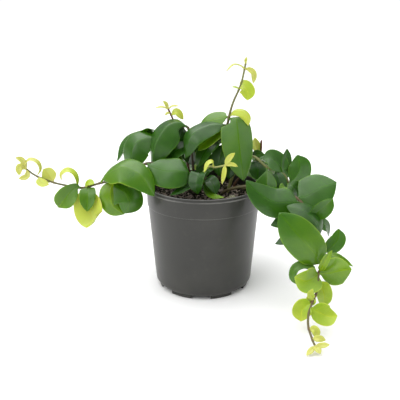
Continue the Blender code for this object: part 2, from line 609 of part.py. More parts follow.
def make_stem(name, stem, collection, scratch):
    """A stem with its leaves, joined in one solid."""
    rod, points, marks = add_rod(name, stem, collection)
    for index, leaf in enumerate(stem.leaves):
        at = min(leaf.at, len(stem.path) - 1 - TIP_INSET)
        node = [np.interp(at, marks, points[:, k]) for k in range(3)]
        add_leaf(f"{name}_leaf_{index}", leaf, node, scratch)
    boolean(rod, "UNION", scratch)
    fused = baked(rod, name, collection, material(f"{name}_green", stem.colour, 0.42))
    keep_largest(fused.data)
    remove([rod, *scratch.objects])
    return fused


def stand_centred(parts, cutters):
    """Moves everything by one parent, so that the whole box stands centred on the origin."""
    bpy.context.view_layer.update()
    graph = bpy.context.evaluated_depsgraph_get()
    corners = np.array([corner[:] for part in parts for corner in part.evaluated_get(graph).bound_box])
    low, high = corners.min(axis=0), corners.max(axis=0)
    holder = bpy.data.objects.new("plant_origin", None)
    bpy.data.collections[COLLECTION].objects.link(holder)
    for obj in (*parts, *cutters.objects):
        obj.parent = holder
    holder.location = (-(low[0] + high[0]) / 2, -(low[1] + high[1]) / 2, 0)


def main():
    """Builds the pot, its soil and the stems, and sets them on the origin."""
    remove(bpy.data.objects)
    collection = bpy.data.collections.new(COLLECTION)
    cutters = bpy.data.collections.new("cutters")
    scratch = bpy.data.collections.new("joining")
    for made in (collection, cutters, scratch):
        bpy.context.scene.collection.children.link(made)
    parts = [make_pot(collection, cutters), make_soil(collection, scratch)]
    for name, stem in STEMS.items():
        parts.append(make_stem(name, stem, collection, scratch))
    for part in parts:
        part.data.shade_smooth()
        part.data.set_sharp_from_angle(angle=SHARP)
    stand_centred(parts, cutters)


main()
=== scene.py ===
"""Looks of the potted lipstick plant: fine leaves and stems, the moulded pot and crumbly soil.

Sizes are in millimetres from the pot's axis, as on the plant itself, and are turned into metres in the
row frame where a mesh is made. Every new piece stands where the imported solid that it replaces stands.
"""

import logging
import math
import random
from collections.abc import Callable, Iterable
from dataclasses import dataclass, replace
from enum import Enum

import bmesh
import bpy
import numpy as np
from mathutils import Euler, Matrix, Vector, noise

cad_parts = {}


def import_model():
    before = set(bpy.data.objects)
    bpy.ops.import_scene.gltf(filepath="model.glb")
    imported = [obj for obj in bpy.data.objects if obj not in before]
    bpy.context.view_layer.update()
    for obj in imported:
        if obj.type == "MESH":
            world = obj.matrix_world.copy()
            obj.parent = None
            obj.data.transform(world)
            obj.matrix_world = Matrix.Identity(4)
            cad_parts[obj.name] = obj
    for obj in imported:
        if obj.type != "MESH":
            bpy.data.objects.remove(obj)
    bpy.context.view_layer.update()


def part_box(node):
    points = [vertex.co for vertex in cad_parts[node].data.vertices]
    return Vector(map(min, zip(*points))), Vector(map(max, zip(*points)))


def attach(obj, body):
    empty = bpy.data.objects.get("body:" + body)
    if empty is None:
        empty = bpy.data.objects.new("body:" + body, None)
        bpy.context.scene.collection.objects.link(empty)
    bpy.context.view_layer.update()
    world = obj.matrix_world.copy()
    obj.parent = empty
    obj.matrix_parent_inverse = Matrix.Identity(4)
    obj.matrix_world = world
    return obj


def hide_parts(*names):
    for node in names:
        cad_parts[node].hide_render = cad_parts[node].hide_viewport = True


LOG = logging.getLogger("lipstick_plant")
MM = 0.001
BODY = "root"
WELD = 1e-7
Span = tuple[float, float]
Point = tuple[float, float, float]
Colour = tuple[float, float, float]
Stops = tuple[tuple[float, Colour], ...]


def math_operator(operation: str, swapped: bool = False) -> Callable:
    """Makes an operator for Signal, which adds a Math node.

    Args:
        operation: the node's operation.
        swapped: whether the signal comes second, as in 1 - mask.

    Returns:
        The method.
    """

    def combine(self: "Signal", other: "Signal | float") -> "Signal":
        """Puts this and a number or signal through the node."""
        return self.math(operation, *((other, self) if swapped else (self, other)))

    return combine


class Signal:
    """A shader socket that takes part in Python arithmetic: each operator adds a Math node."""

    __add__ = math_operator("ADD")
    __radd__ = math_operator("ADD", swapped=True)
    __sub__ = math_operator("SUBTRACT")
    __rsub__ = math_operator("SUBTRACT", swapped=True)
    __mul__ = math_operator("MULTIPLY")
    __rmul__ = math_operator("MULTIPLY", swapped=True)
    __pow__ = math_operator("POWER")

    def __init__(self, board: "Board", socket: bpy.types.NodeSocket) -> None:
        """Args:
            board: the node tree that the socket is in.
            socket: an output socket that carries a number.
        """
        self.board = board
        self.socket = socket

    def math(self, operation: str, *values: "Signal | float") -> "Signal":
        """The result of a new Math node, with these values in its sockets."""
        node = self.board.add("ShaderNodeMath", {"operation": operation}, dict(enumerate(values)))
        return Signal(self.board, node.outputs[0])

    def size(self) -> "Signal":
        """This without its sign."""
        return self.math("ABSOLUTE", self)

    def wave(self) -> "Signal":
        """The cosine of this."""
        return self.math("COSINE", self)

    def between(self, low: float, high: float) -> "Signal":
        """A smooth step from 0 to 1.

        Args:
            low: it is 0 where this is less.
            high: it is 1 where this is more.

        Returns:
            The step.
        """
        sockets = {"Value": self, "From Min": low, "From Max": high}
        node = self.board.add("ShaderNodeMapRange", {"interpolation_type": "SMOOTHSTEP"}, sockets)
        return Signal(self.board, node.outputs["Result"])


class Board:
    """A node tree with short ways to add to it."""

    def __init__(self, tree: bpy.types.NodeTree) -> None:
        """Args:
            tree: the tree to fill; what it held is removed.
        """
        self.tree = tree
        tree.nodes.clear()

    def add(self, kind: str, settings: dict | None = None, sockets: dict | None = None) -> bpy.types.Node:
        """Adds one node.

        Args:
            kind: the node's type name.
            settings: its properties, set first; "stops" fills a ramp with (place, colour) pairs.
            sockets: values, signals or output sockets for its inputs.

        Returns:
            The new node.
        """
        node = self.tree.nodes.new(kind)
        for name, value in (settings or {}).items():
            if name == "stops":
                self.fill_ramp(node.color_ramp, value)
            else:
                setattr(node, name, value)
        self.plug(node, sockets or {})
        return node

    def plug(self, node: bpy.types.Node, sockets: dict[str | int, object]) -> None:
        """Sets or links a node's inputs.

        Args:
            node: the node.
            sockets: values, signals or output sockets for its inputs.
        """
        for name, value in sockets.items():
            source = value.socket if isinstance(value, Signal) else value
            if isinstance(source, bpy.types.NodeSocket):
                self.tree.links.new(source, node.inputs[name])
            else:
                node.inputs[name].default_value = source

    @staticmethod
    def fill_ramp(ramp: bpy.types.ColorRamp, stops: Stops) -> None:
        """Sets a ramp's stops.

        Args:
            ramp: the ramp of a Color Ramp node.
            stops: places from 0 to 1 with their colours.
        """
        for index, (place, colour) in enumerate(stops):
            stop = ramp.elements[index] if index < 2 else ramp.elements.new(place)
            stop.position = place
            stop.color = (*colour, 1)

    def attribute(self, name: str) -> Signal:
        """The mesh's own attribute of this name, as a number."""
        node = self.add("ShaderNodeAttribute", {"attribute_type": "GEOMETRY", "attribute_name": name})
        return Signal(self, node.outputs["Fac"])

    def place(self) -> bpy.types.NodeSocket:
        """Object coordinates."""
        return self.add("ShaderNodeTexCoord").outputs["Object"]

    def noise(self, scale: float, detail: float, shift: float = 0.0) -> Signal:
        """Noise on Object coordinates.

        Args:
            scale: how many features there are in a metre.
            detail: how many finer layers it has.
            shift: moves the pattern, so that two of one scale differ.

        Returns:
            A number from 0 to 1.
        """
        moved = self.add("ShaderNodeMapping", {}, {"Vector": self.place(), "Location": (shift, 0, shift)})
        sockets = {"Vector": moved.outputs[0], "Scale": scale, "Detail": detail}
        return Signal(self, self.add("ShaderNodeTexNoise", {}, sockets).outputs[0])

    def ramp(self, value: Signal, stops: Stops) -> bpy.types.NodeSocket:
        """A colour looked up by a number."""
        return self.add("ShaderNodeValToRGB", {"stops": stops}, {0: value}).outputs[0]

    def mix(self, share: Signal, first: object, second: object) -> bpy.types.NodeSocket:
        """Mixes two colours.

        Args:
            share: how much of the second there is, from 0 to 1.
            first: a colour or a socket.
            second: the same.

        Returns:
            The mixed colour.
        """
        ends = [(*end, 1) if isinstance(end, tuple) else end for end in (first, second)]
        node = self.add("ShaderNodeMix", {"data_type": "RGBA"}, {0: share, 6: ends[0], 7: ends[1]})
        return node.outputs[2]

    def bump(self, height: Signal, strength: float, distance: float) -> bpy.types.NodeSocket:
        """A bumped normal; distance is in metres."""
        sockets = {"Height": height, "Strength": strength, "Distance": distance}
        return self.add("ShaderNodeBump", {}, sockets).outputs[0]


@dataclass(frozen=True)
class Trace:
    """How much one pattern adds to a finish where it is strongest.

    Args:
        colour: how far it moves the colour along its ramp, or towards the second colour.
        relief: how high it stands in the bumps.
        rough: how much rougher it makes the surface.
    """

    colour: float = 0.0
    relief: float = 0.0
    rough: float = 0.0


@dataclass(frozen=True)
class Finish:
    """A surface finish; each kind varies the shader in its own way.

    Args:
        name: the material's name.
        slot: the material slot that it belongs to; not used.
        roughness: the shader's mean roughness.
        bumps: the strength of its bumps, and their height in metres.
    """

    name: str
    slot: str
    roughness: float
    bumps: Span

    EVEN = {}

    def material(self) -> bpy.types.Material:
        """Makes the material, or finds the one made before. EVEN holds what is the same all over it.

        Returns:
            The material.
        """
        made = bpy.data.materials.get(self.name)
        if made is None:
            made = bpy.data.materials.new(self.name)
            made.use_nodes = True
            board = Board(made.node_tree)
            even = {"Roughness": self.roughness, **self.EVEN}
            shader = board.add("ShaderNodeBsdfPrincipled", {}, even)
            board.add("ShaderNodeOutputMaterial", {}, {"Surface": shader.outputs[0]})
            board.plug(shader, self.vary(board))
        return made

    def vary(self, board: Board) -> dict[str, object]:
        """What changes over the surface; each finish has its own.

        Args:
            board: the material's nodes.

        Returns:
            Values and links by the shader's socket.
        """
        raise NotImplementedError


@dataclass(frozen=True)
class LeafFinish(Finish):
    """Waxy leaf skin, coloured by age: attribute age 0 is a mature leaf and 1 the newest; the lowest ages
    also carry painted shade on leaves deep in the crown.

    Args:
        ages: the colour at each age.
        mottle_scale, grain_scale: how many blotches and grains there are in a metre.
        midrib_fade: where the midrib's colour fades, in millimetres from its line.
        vein_step: how far apart the veins are, in millimetres.
        vein_slant: how far a vein runs on along the leaf for each millimetre outwards.
        vein_fade, margin_start: where the veins end and the pale margin starts, with the edge at 1; the
            margin is partly the blade's own paler rim and partly painted light shining through it.
        mottle, grain, midrib, veins, margin: how much each adds.
    """

    name: str = "waxy_leaf"
    slot: str = "leaf_green"
    roughness: float = 0.30
    bumps: Span = (0.25, 0.0002)
    ages: Stops = (
        (0.0, (0.013, 0.066, 0.002)),
        (0.2, (0.037, 0.130, 0.003)),
        (0.4, (0.088, 0.205, 0.003)),
        (0.6, (0.235, 0.370, 0.010)),
        (0.8, (0.490, 0.570, 0.055)),
        (1.0, (0.530, 0.530, 0.120)),
    )
    mottle_scale: float = 55.0
    grain_scale: float = 1400.0
    midrib_fade: Span = (0.25, 1.1)
    vein_step: float = 5.2
    vein_slant: float = 0.75
    vein_thinness: float = 14
    vein_fade: Span = (0.75, 0.95)
    margin_start: Span = (0.9, 1.0)
    mottle: Trace = Trace(colour=0.22, relief=0.6, rough=0.12)
    grain: Trace = Trace(colour=0.10, relief=0.3)
    midrib: Trace = Trace(colour=0.05, rough=-0.05)
    veins: Trace = Trace(colour=0.012, relief=-0.3)
    margin: Trace = Trace(colour=0.20)

    EVEN = {
        "Subsurface Weight": 0.22,
        "Subsurface Radius": (0.9, 1.4, 0.2),
        "Subsurface Scale": 0.0015,
        "Specular IOR Level": 0.42,
        "Coat Weight": 0.06,
        "Coat Roughness": 0.3,
    }

    def vary(self, board: Board) -> dict[str, object]:
        """Age sets the colour; veins, mottling and pale margins, partly painted light through the thin
        edges, change it a little.

        Args:
            board: the material's nodes.

        Returns:
            Values and links by the shader's socket.
        """
        age = board.attribute("age")
        across = board.attribute("across").size()
        along = board.attribute("along")
        edge = board.attribute("edge")
        mottle = board.noise(self.mottle_scale, detail=4.0)
        grain = board.noise(self.grain_scale, detail=2.0, shift=0.3)
        midrib = 1 - across.between(*self.midrib_fade)
        turn = (along - across * self.vein_slant) * (math.tau / self.vein_step)
        lines = (turn.wave() * 0.5 + 0.5) ** self.vein_thinness
        veins = lines * (1 - midrib) * (1 - edge.between(*self.vein_fade))
        # The pale margin: partly the blade's own paler rim, partly painted light for the thin edge that
        # light shines through.
        margin = edge.between(*self.margin_start)
        shade = age + (mottle - 0.5) * self.mottle.colour + midrib * self.midrib.colour
        shade = shade + veins * self.veins.colour + margin * self.margin.colour
        height = grain * self.grain.relief + veins * self.veins.relief + mottle * self.mottle.relief
        return {
            "Base Color": board.ramp(shade + (grain - 0.5) * self.grain.colour, self.ages),
            "Roughness": self.roughness + (mottle - 0.5) * self.mottle.rough + midrib * self.midrib.rough,
            "Normal": board.bump(height, *self.bumps),
        }


@dataclass(frozen=True)
class StalkFinish(Finish):
    """Stem skin: woody at the root, green further on, red-brown where attribute blush says.

    Args:
        ages: the colour from woody, 0, to new, 1.
        red: the colour where it blushes.
        streak_scale, patch_scale: how many streaks and how many patches of blush there are in a metre.
        blush_start: where the red starts and is full, in blush.
        streak, patch: how much each adds.
    """

    name: str = "stem_skin"
    slot: str = "leaf_green"
    roughness: float = 0.5
    bumps: Span = (0.5, 0.0003)
    ages: Stops = (
        (0.0, (0.055, 0.045, 0.022)),
        (0.45, (0.085, 0.095, 0.030)),
        (1.0, (0.300, 0.330, 0.090)),
    )
    red: Colour = (0.140, 0.045, 0.022)
    streak_scale: float = 420.0
    patch_scale: float = 90.0
    blush_start: Span = (0.05, 0.95)
    streak: Trace = Trace(colour=0.3)
    patch: Trace = Trace(colour=0.5)

    def vary(self, board: Board) -> dict[str, object]:
        """Age and blush set the colour, with fine streaks along the stem.

        Args:
            board: the material's nodes.

        Returns:
            Values and links by the shader's socket.
        """
        streak = board.noise(self.streak_scale, detail=3.0)
        patch = board.noise(self.patch_scale, detail=3.0, shift=0.7)
        age = board.attribute("age") + (streak - 0.5) * self.streak.colour
        blush = board.attribute("blush") + (patch - 0.5) * self.patch.colour
        colour = board.mix(blush.between(*self.blush_start), board.ramp(age, self.ages), self.red)
        return {"Base Color": colour, "Normal": board.bump(streak, *self.bumps)}


@dataclass(frozen=True)
class PlasticFinish(Finish):
    """Dark grey moulded polypropylene, satin, a little dusty and scuffed, with painted highlight lines
    along its edges.

    Args:
        base, dust, edge_highlight: the colours of the plastic, of the dust on it and of the painted
            highlight lines on its edges.
        edges: the heights of the edges that carry painted highlight lines, in metres, and how strong each
            line is.
        edge_fade: how far from its height an edge fades, in metres.
        grain_scale, cloud_scale, scuff_scale: how many of each there are in a metre.
        scuff_patch, dust_patch, highlight_patch: where in their noise the patches start and are full.
        least_highlight: how strong an edge's painted highlight is between its patches, and most_highlight
            how much more in them.
        grain, cloud, scuff: how much each adds.
    """

    name: str = "moulded_pot_plastic"
    slot: str = "pot_plastic"
    roughness: float = 0.36
    bumps: Span = (0.12, 0.0002)
    base: Colour = (0.030, 0.030, 0.0262)
    dust: Colour = (0.092, 0.089, 0.077)
    edge_highlight: Colour = (0.190, 0.190, 0.175)
    # The heights of the painted highlight lines on the rim's edges, in metres, and how strong each is.
    edges: tuple[Span, ...] = ((0.1107, 1.0), (0.1078, 1.1), (0.0912, 0.5))
    edge_fade: Span = (0.0002, 0.0008)
    grain_scale: float = 2600.0
    cloud_scale: float = 22.0
    scuff_scale: float = 180.0
    scuff_patch: Span = (0.56, 0.74)
    dust_patch: Span = (0.42, 0.80)
    highlight_patch: Span = (0.35, 0.60)
    least_highlight: float = 0.1
    most_highlight: float = 0.5
    grain: Trace = Trace(relief=0.5)
    cloud: Trace = Trace(colour=0.20, relief=0.6, rough=0.10)
    scuff: Trace = Trace(colour=0.10, rough=0.07)

    EVEN = {"Specular IOR Level": 0.42}

    def vary(self, board: Board) -> dict[str, object]:
        """Fine moulding grain, dust in patches, scuffs, and painted highlight lines along the edges, in
        patches too.

        Args:
            board: the material's nodes.

        Returns:
            Values and links by the shader's socket.
        """
        grain = board.noise(self.grain_scale, detail=2.0)
        cloud = board.noise(self.cloud_scale, detail=4.0, shift=0.4)
        scuff = board.noise(self.scuff_scale, detail=5.0, shift=0.9).between(*self.scuff_patch)
        dusty = cloud.between(*self.dust_patch) * self.cloud.colour + scuff * self.scuff.colour
        height = Signal(board, board.add("ShaderNodeSeparateXYZ", {}, {0: board.place()}).outputs["Z"])
        # Painted highlights: thin pale lines at the heights of the rim's edges, stronger in patches,
        # mixed into the base colour.
        off_edges = [(height - edge).size().between(*self.edge_fade) for edge, _ in self.edges]
        highlight_lines = [(1 - off) * share for off, (_, share) in zip(off_edges, self.edges)]
        patches = cloud.between(*self.highlight_patch) * self.most_highlight + self.least_highlight
        painted_highlight = sum(highlight_lines[1:], highlight_lines[0]) * patches
        bumps = grain * self.grain.relief + cloud * self.cloud.relief
        return {
            "Base Color": board.mix(painted_highlight, board.mix(dusty, self.base, self.dust), self.edge_highlight),
            "Roughness": self.roughness + (cloud - 0.5) * self.cloud.rough + scuff * self.scuff.rough,
            "Normal": board.bump(bumps, *self.bumps),
        }


@dataclass(frozen=True)
class SoilFinish(Finish):
    """Damp peat with paler crumbs.

    Args:
        shades: the colour from the darkest hollow, 0, to the palest crumb, 1.
        clod_scale, grain_scale: how many clods and grains there are in a metre.
        clods, grain: how much each adds.
        dark: how much darker the whole is.
    """

    name: str = "potting_soil"
    slot: str = "potting_soil"
    roughness: float = 0.92
    bumps: Span = (0.9, 0.0008)
    shades: Stops = (
        (0.0, (0.004, 0.004, 0.002)),
        (0.5, (0.012, 0.011, 0.006)),
        (0.8, (0.032, 0.026, 0.014)),
        (1.0, (0.085, 0.070, 0.040)),
    )
    clod_scale: float = 160.0
    grain_scale: float = 900.0
    clods: Trace = Trace(colour=0.55)
    grain: Trace = Trace(colour=0.55)
    dark: float = 0.05

    EVEN = {"Specular IOR Level": 0.12}

    def vary(self, board: Board) -> dict[str, object]:
        """Peat colour from two scales of noise, with rough grain.

        Args:
            board: the material's nodes.

        Returns:
            Values and links by the shader's socket.
        """
        clods = board.noise(self.clod_scale, detail=5.0)
        grain = board.noise(self.grain_scale, detail=4.0, shift=0.2)
        shade = clods * self.clods.colour + grain * self.grain.colour - self.dark
        return {"Base Color": board.ramp(shade, self.shades), "Normal": board.bump(grain, *self.bumps)}


@dataclass(frozen=True)
class BitFinish(Finish):
    """Bark chips, fibres and mineral grains: attribute tint picks each bit's own colour.

    Args:
        shades: the colour for each tint.
        layer_scale: how many layers of grain there are in a metre.
        layers: how much they add.
    """

    name: str = "bark_and_grit"
    slot: str = "potting_soil"
    roughness: float = 0.85
    bumps: Span = (0.8, 0.0006)
    shades: Stops = (
        (0.0, (0.008, 0.008, 0.004)),
        (0.3, (0.022, 0.019, 0.009)),
        (0.6, (0.060, 0.054, 0.026)),
        (0.8, (0.165, 0.170, 0.085)),
        (1.0, (0.620, 0.600, 0.540)),
    )
    layer_scale: float = 700.0
    layers: Trace = Trace(colour=0.25)

    EVEN = {"Specular IOR Level": 0.15}

    def vary(self, board: Board) -> dict[str, object]:
        """Each bit has its tint, with layers of grain over it.

        Args:
            board: the material's nodes.

        Returns:
            Values and links by the shader's socket.
        """
        layers = board.noise(self.layer_scale, detail=5.0)
        shade = board.attribute("tint") + (layers - 0.5) * self.layers.colour
        return {"Base Color": board.ramp(shade, self.shades), "Normal": board.bump(layers, *self.bumps)}


LEAF_SKIN = LeafFinish()
YOUNG_SKIN = LeafFinish(name="young_waxy_leaf", slot="young_leaf")
STEM_SKIN = StalkFinish()
POT_PLASTIC = PlasticFinish()
PEAT = SoilFinish()
BITS = BitFinish()
CURVE_STEPS = 12


def run_length(line: np.ndarray) -> np.ndarray:
    """How far along a line each of its points lies."""
    return np.concatenate([[0], np.cumsum(np.linalg.norm(np.diff(line, axis=0), axis=1))])


def blend(ends: Span, share: float) -> float:
    """The value at this share of the way between two."""
    return ends[0] + (ends[1] - ends[0]) * share


def smooth_path(points: Iterable[Point], count: int) -> tuple[np.ndarray, np.ndarray]:
    """Draws a Catmull-Rom curve through points and spaces it evenly.

    Args:
        points: the places that the curve runs through.
        count: how many points are wanted.

    Returns:
        The even points, and where each lies, counted in the given points.
    """
    given = np.array(list(points), float)
    ends = np.vstack([2 * given[0] - given[1], given, 2 * given[-1] - given[-2]])
    drawn, marks = [], []
    for i in range(len(given) - 1):
        a, b, c, d = ends[i : i + 4]
        for t in np.linspace(0, 1, CURVE_STEPS, endpoint=i == len(given) - 2):
            square = (2 * a - 5 * b + 4 * c - d) * t**2
            cube = (3 * b - a - 3 * c + d) * t**3
            drawn.append((2 * b + (c - a) * t + square + cube) / 2)
            marks.append(i + t)
    drawn = np.array(drawn)
    run = run_length(drawn)
    steps = np.linspace(0, run[-1], count)
    even = np.column_stack([np.interp(steps, run, drawn[:, k]) for k in range(3)])
    return even, np.interp(steps, run, marks)


def frames(line: np.ndarray, face: Point) -> tuple[np.ndarray, np.ndarray]:
    """Carries a normal along a line, both ways from its middle, without turning it.

    Args:
        line: points.
        face: where the normal looks at the middle.

    Returns:
        The normals, and the sideways directions.
    """
    tangents = np.gradient(line, axis=0)
    tangents /= np.linalg.norm(tangents, axis=1)[:, None]
    normals = np.zeros_like(line)
    middle = len(line) // 2
    for order in (range(middle, len(line)), range(middle, -1, -1)):
        normal = np.array(face, float)
        for i in order:
            normal = normal - tangents[i] * normal.dot(tangents[i])
            normal /= np.linalg.norm(normal)
            normals[i] = normal
    return normals, np.cross(tangents, normals)


def put_object(name: str, shape: bmesh.types.BMesh) -> bpy.types.Object:
    """Makes an object from a bmesh and frees the bmesh.

    Args:
        name: the object's name.
        shape: its mesh.

    Returns:
        The new object, in the scene.
    """
    data = bpy.data.meshes.new(name)
    shape.to_mesh(data)
    shape.free()
    piece = bpy.data.objects.new(name, data)
    bpy.context.scene.collection.objects.link(piece)
    return piece


class Shaper:
    """A bmesh that pieces are gathered in, with named number layers on its points."""

    SEAM = 1e-6

    def __init__(self, *layers: str) -> None:
        """Args:
            layers: the names of the attributes that its points carry.
        """
        self.mesh = bmesh.new()
        self.layers = {name: self.mesh.verts.layers.float.new(name) for name in layers}

    def sleeve(self, around: int, along: int, place: Callable[[float, int], tuple[Vector, dict]]) -> None:
        """Wraps a grid round a line, so that it closes on itself.

        Args:
            around: how many steps go round.
            along: how many steps go along.
            place: gives a point, in millimetres, and its layers' values, from its turn and its row.
        """
        made = bmesh.ops.create_grid(self.mesh, x_segments=around, y_segments=along, size=1)["verts"]
        for vertex in made:
            turn = math.pi * (vertex.co.x + 1)
            row = round((vertex.co.y + 1) / 2 * along)
            spot, values = place(turn if turn < math.tau - self.SEAM else 0.0, row)
            vertex.co = spot * MM
            self.mark([vertex], **values)

    def mark(self, vertices: Iterable[bmesh.types.BMVert], **values: float) -> None:
        """Gives these points the same value in each named layer."""
        for vertex in vertices:
            for name, value in values.items():
                vertex[self.layers[name]] = value

    def finish(self, name: str, finish: Finish, shift: Vector, smooth: bool = True) -> bpy.types.Object:
        """Closes the seams and ends, and makes the object.

        Args:
            name: the piece's name.
            finish: its surface.
            shift: where the pot's axis stands, in metres.
            smooth: whether its faces are shaded smooth.

        Returns:
            The new object, standing at the origin with its place in its mesh.
        """
        bmesh.ops.remove_doubles(self.mesh, verts=self.mesh.verts, dist=WELD)
        open_edges = [edge for edge in self.mesh.edges if edge.is_boundary]
        if open_edges:
            bmesh.ops.holes_fill(self.mesh, edges=open_edges, sides=0)
        bmesh.ops.recalc_face_normals(self.mesh, faces=self.mesh.faces)
        bmesh.ops.translate(self.mesh, verts=self.mesh.verts, vec=shift)
        for face in self.mesh.faces:
            face.smooth = smooth
        piece = put_object(name, self.mesh)
        piece.data.materials.append(finish.material())
        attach(piece, BODY)
        LOG.info("made %s with %d faces", name, len(piece.data.polygons))
        return piece


@dataclass(frozen=True)
class Leaf:
    """One leaf, in millimetres from its node.

    Args:
        at: where it grows, counted along the stem's own points.
        rib: places on the midrib after the node.
        width: the blade's full width.
        face: where the upper side looks, half way along the rib.
        age: 0 on a mature leaf and 1 on the newest, at the stalk; leaves deep in the crown take the
            lowest ages, which also paint their shade.
        tip_age: the same at the point, where it differs.
        cup: how far the edges rise (or droop, below 0), as a share of the half width.
        widest: where along the rib the blade is widest.
        under: how much paler the lower side is.
        crease: 1 folds the blade sharply at its midrib, and 2 leaves it round.
    """

    at: float
    rib: tuple[Point, ...]
    width: float
    face: Point
    age: float
    tip_age: float | None = None
    cup: float = 0.25
    widest: float = 0.45
    under: float = 0.12
    crease: float = 1.5

    # The stalk: its width and thickness, and its share of the leaf's length.
    STALK_WIDTH = 2.2
    STALK_THICK = 2.0
    STALK_SHARE = 0.08
    # The blade: its thickness, how much thinner it gets, where it starts, and how soon it is flat.
    BLADE_THICK = 0.95
    BLADE_THINS = 0.35
    BLADE_START = 0.03
    BLADE_FLAT = 0.14
    # The powers that round its section: 2, an ellipse, for the stalk, and more for the flat blade.
    STALK_SECTION = 2
    BLADE_SECTION = 6
    # The outline: the oval's two powers, how much the last part narrows, and the width at the point.
    OVAL = (2.3, 0.6)
    POINT_NARROWS = 0.5
    POINT_POWER = 9
    TIP_WIDTH = 0.7
    # The midrib: its half width, its groove on the upper side and its ridge on the lower.
    MIDRIB = 0.9
    GROOVE = 0.22
    RIDGE = 0.45
    # The margin: how many waves it has, how high as a share of the half width, and one side's lead.
    WAVES = 1.6
    WAVE_HEIGHT = 0.03
    WAVE_LEAD = 1.9
    # Unevenness: how much one side may be wider, how much a cup narrows the blade, and broad dents.
    LEAN = 0.03
    CUP_NARROWS = 0.3
    DENT_SCALE = 0.09
    DENT_HEIGHT = 0.5
    # A leaf narrower than this has fewer steps round and along, and shallower dents.
    SMALL = 12.0
    SMALL_STEPS = (20, 18)
    STEPS = (40, 34)
    SMALL_DENT = 0.4
    # How much the steps round crowd together at the midrib.
    CROWDING = 1.7

    def half_width(self, share: float) -> float:
        """The outline: a stalk, an oval blade and a point.

        Args:
            share: how far along the leaf, from 0 to 1.

        Returns:
            Half the width there.
        """
        if share <= self.STALK_SHARE:
            return self.STALK_WIDTH / 2
        along = (share - self.STALK_SHARE) / (1 - self.STALK_SHARE)
        skew = math.log(0.5) / math.log(self.widest)
        oval = (1 - abs(2 * along**skew - 1) ** self.OVAL[0]) ** self.OVAL[1]
        oval *= 1 - self.POINT_NARROWS * along**self.POINT_POWER
        return max(blend((self.STALK_WIDTH, self.TIP_WIDTH), along) / 2, self.width / 2 * oval)

    def grow(self, shaper: Shaper, node: Iterable[float], draw: random.Random) -> None:
        """Adds the leaf: a stalk that widens into a thin blade with a round margin and a midrib.

        Args:
            shaper: what it is added to; its layers are age, across, along and edge.
            node: where on the stem it grows, in millimetres.
            draw: the seeded random source.
        """
        small = self.width < self.SMALL
        around, rows = self.SMALL_STEPS if small else self.STEPS
        start = np.array(list(node), float)
        rib, _ = smooth_path([tuple(start), *(tuple(start + offset) for offset in self.rib)], rows + 1)
        normals, sides = frames(rib, self.face)
        length = run_length(rib)[-1]
        ages = (self.age, self.age if self.tip_age is None else self.tip_age)
        phase = draw.uniform(0, math.tau)
        lean = draw.uniform(-self.LEAN, self.LEAN)
        dent = self.DENT_HEIGHT * (self.SMALL_DENT if small else 1)

        def place(turn: float, row: int) -> tuple[Vector, dict[str, float]]:
            """Works out one point.

            Args:
                turn: its turn round the blade.
                row: its row along the blade.

            Returns:
                The point, in millimetres, and its layers' values.
            """
            share = row / rows
            half = self.half_width(share)
            cosine = math.cos(turn)
            out = math.copysign(abs(cosine) ** self.CROWDING, cosine)
            upper = math.sin(turn) >= 0
            flat = min(1.0, max(0.0, (share - self.BLADE_START) / self.BLADE_FLAT))
            thick = blend((self.STALK_THICK, self.BLADE_THICK * (1 - self.BLADE_THINS * share)), flat)
            power = blend((self.STALK_SECTION, self.BLADE_SECTION), flat)
            rise = thick / 2 * math.sqrt(max(0.0, 1 - abs(out) ** power))
            offset = half * out
            midrib = math.exp(-((offset / self.MIDRIB) ** 2)) * (1 - share) * flat
            height = rise - self.GROOVE * midrib if upper else -rise - self.RIDGE * midrib
            lift = self.cup * max(0.0, half - self.STALK_WIDTH / 2) * abs(out) ** self.crease
            ripple = math.sin(math.tau * self.WAVES * share + phase + (self.WAVE_LEAD if out > 0 else 0))
            lift += self.WAVE_HEIGHT * half * abs(out) ** 3 * ripple * flat
            narrowed = offset * (1 - self.CUP_NARROWS * self.cup**2 * abs(out))
            reach = narrowed * (1 + math.copysign(lean, out) * flat)
            spot = rib[row] + sides[row] * reach + normals[row] * (lift + height)
            spot = spot + normals[row] * noise.noise(Vector(spot) * self.DENT_SCALE) * dent * flat
            age = blend(ages, share) + (0 if upper else self.under)
            return Vector(spot), {"age": age, "across": offset, "along": share * length, "edge": abs(out)}

        shaper.sleeve(around, rows, place)


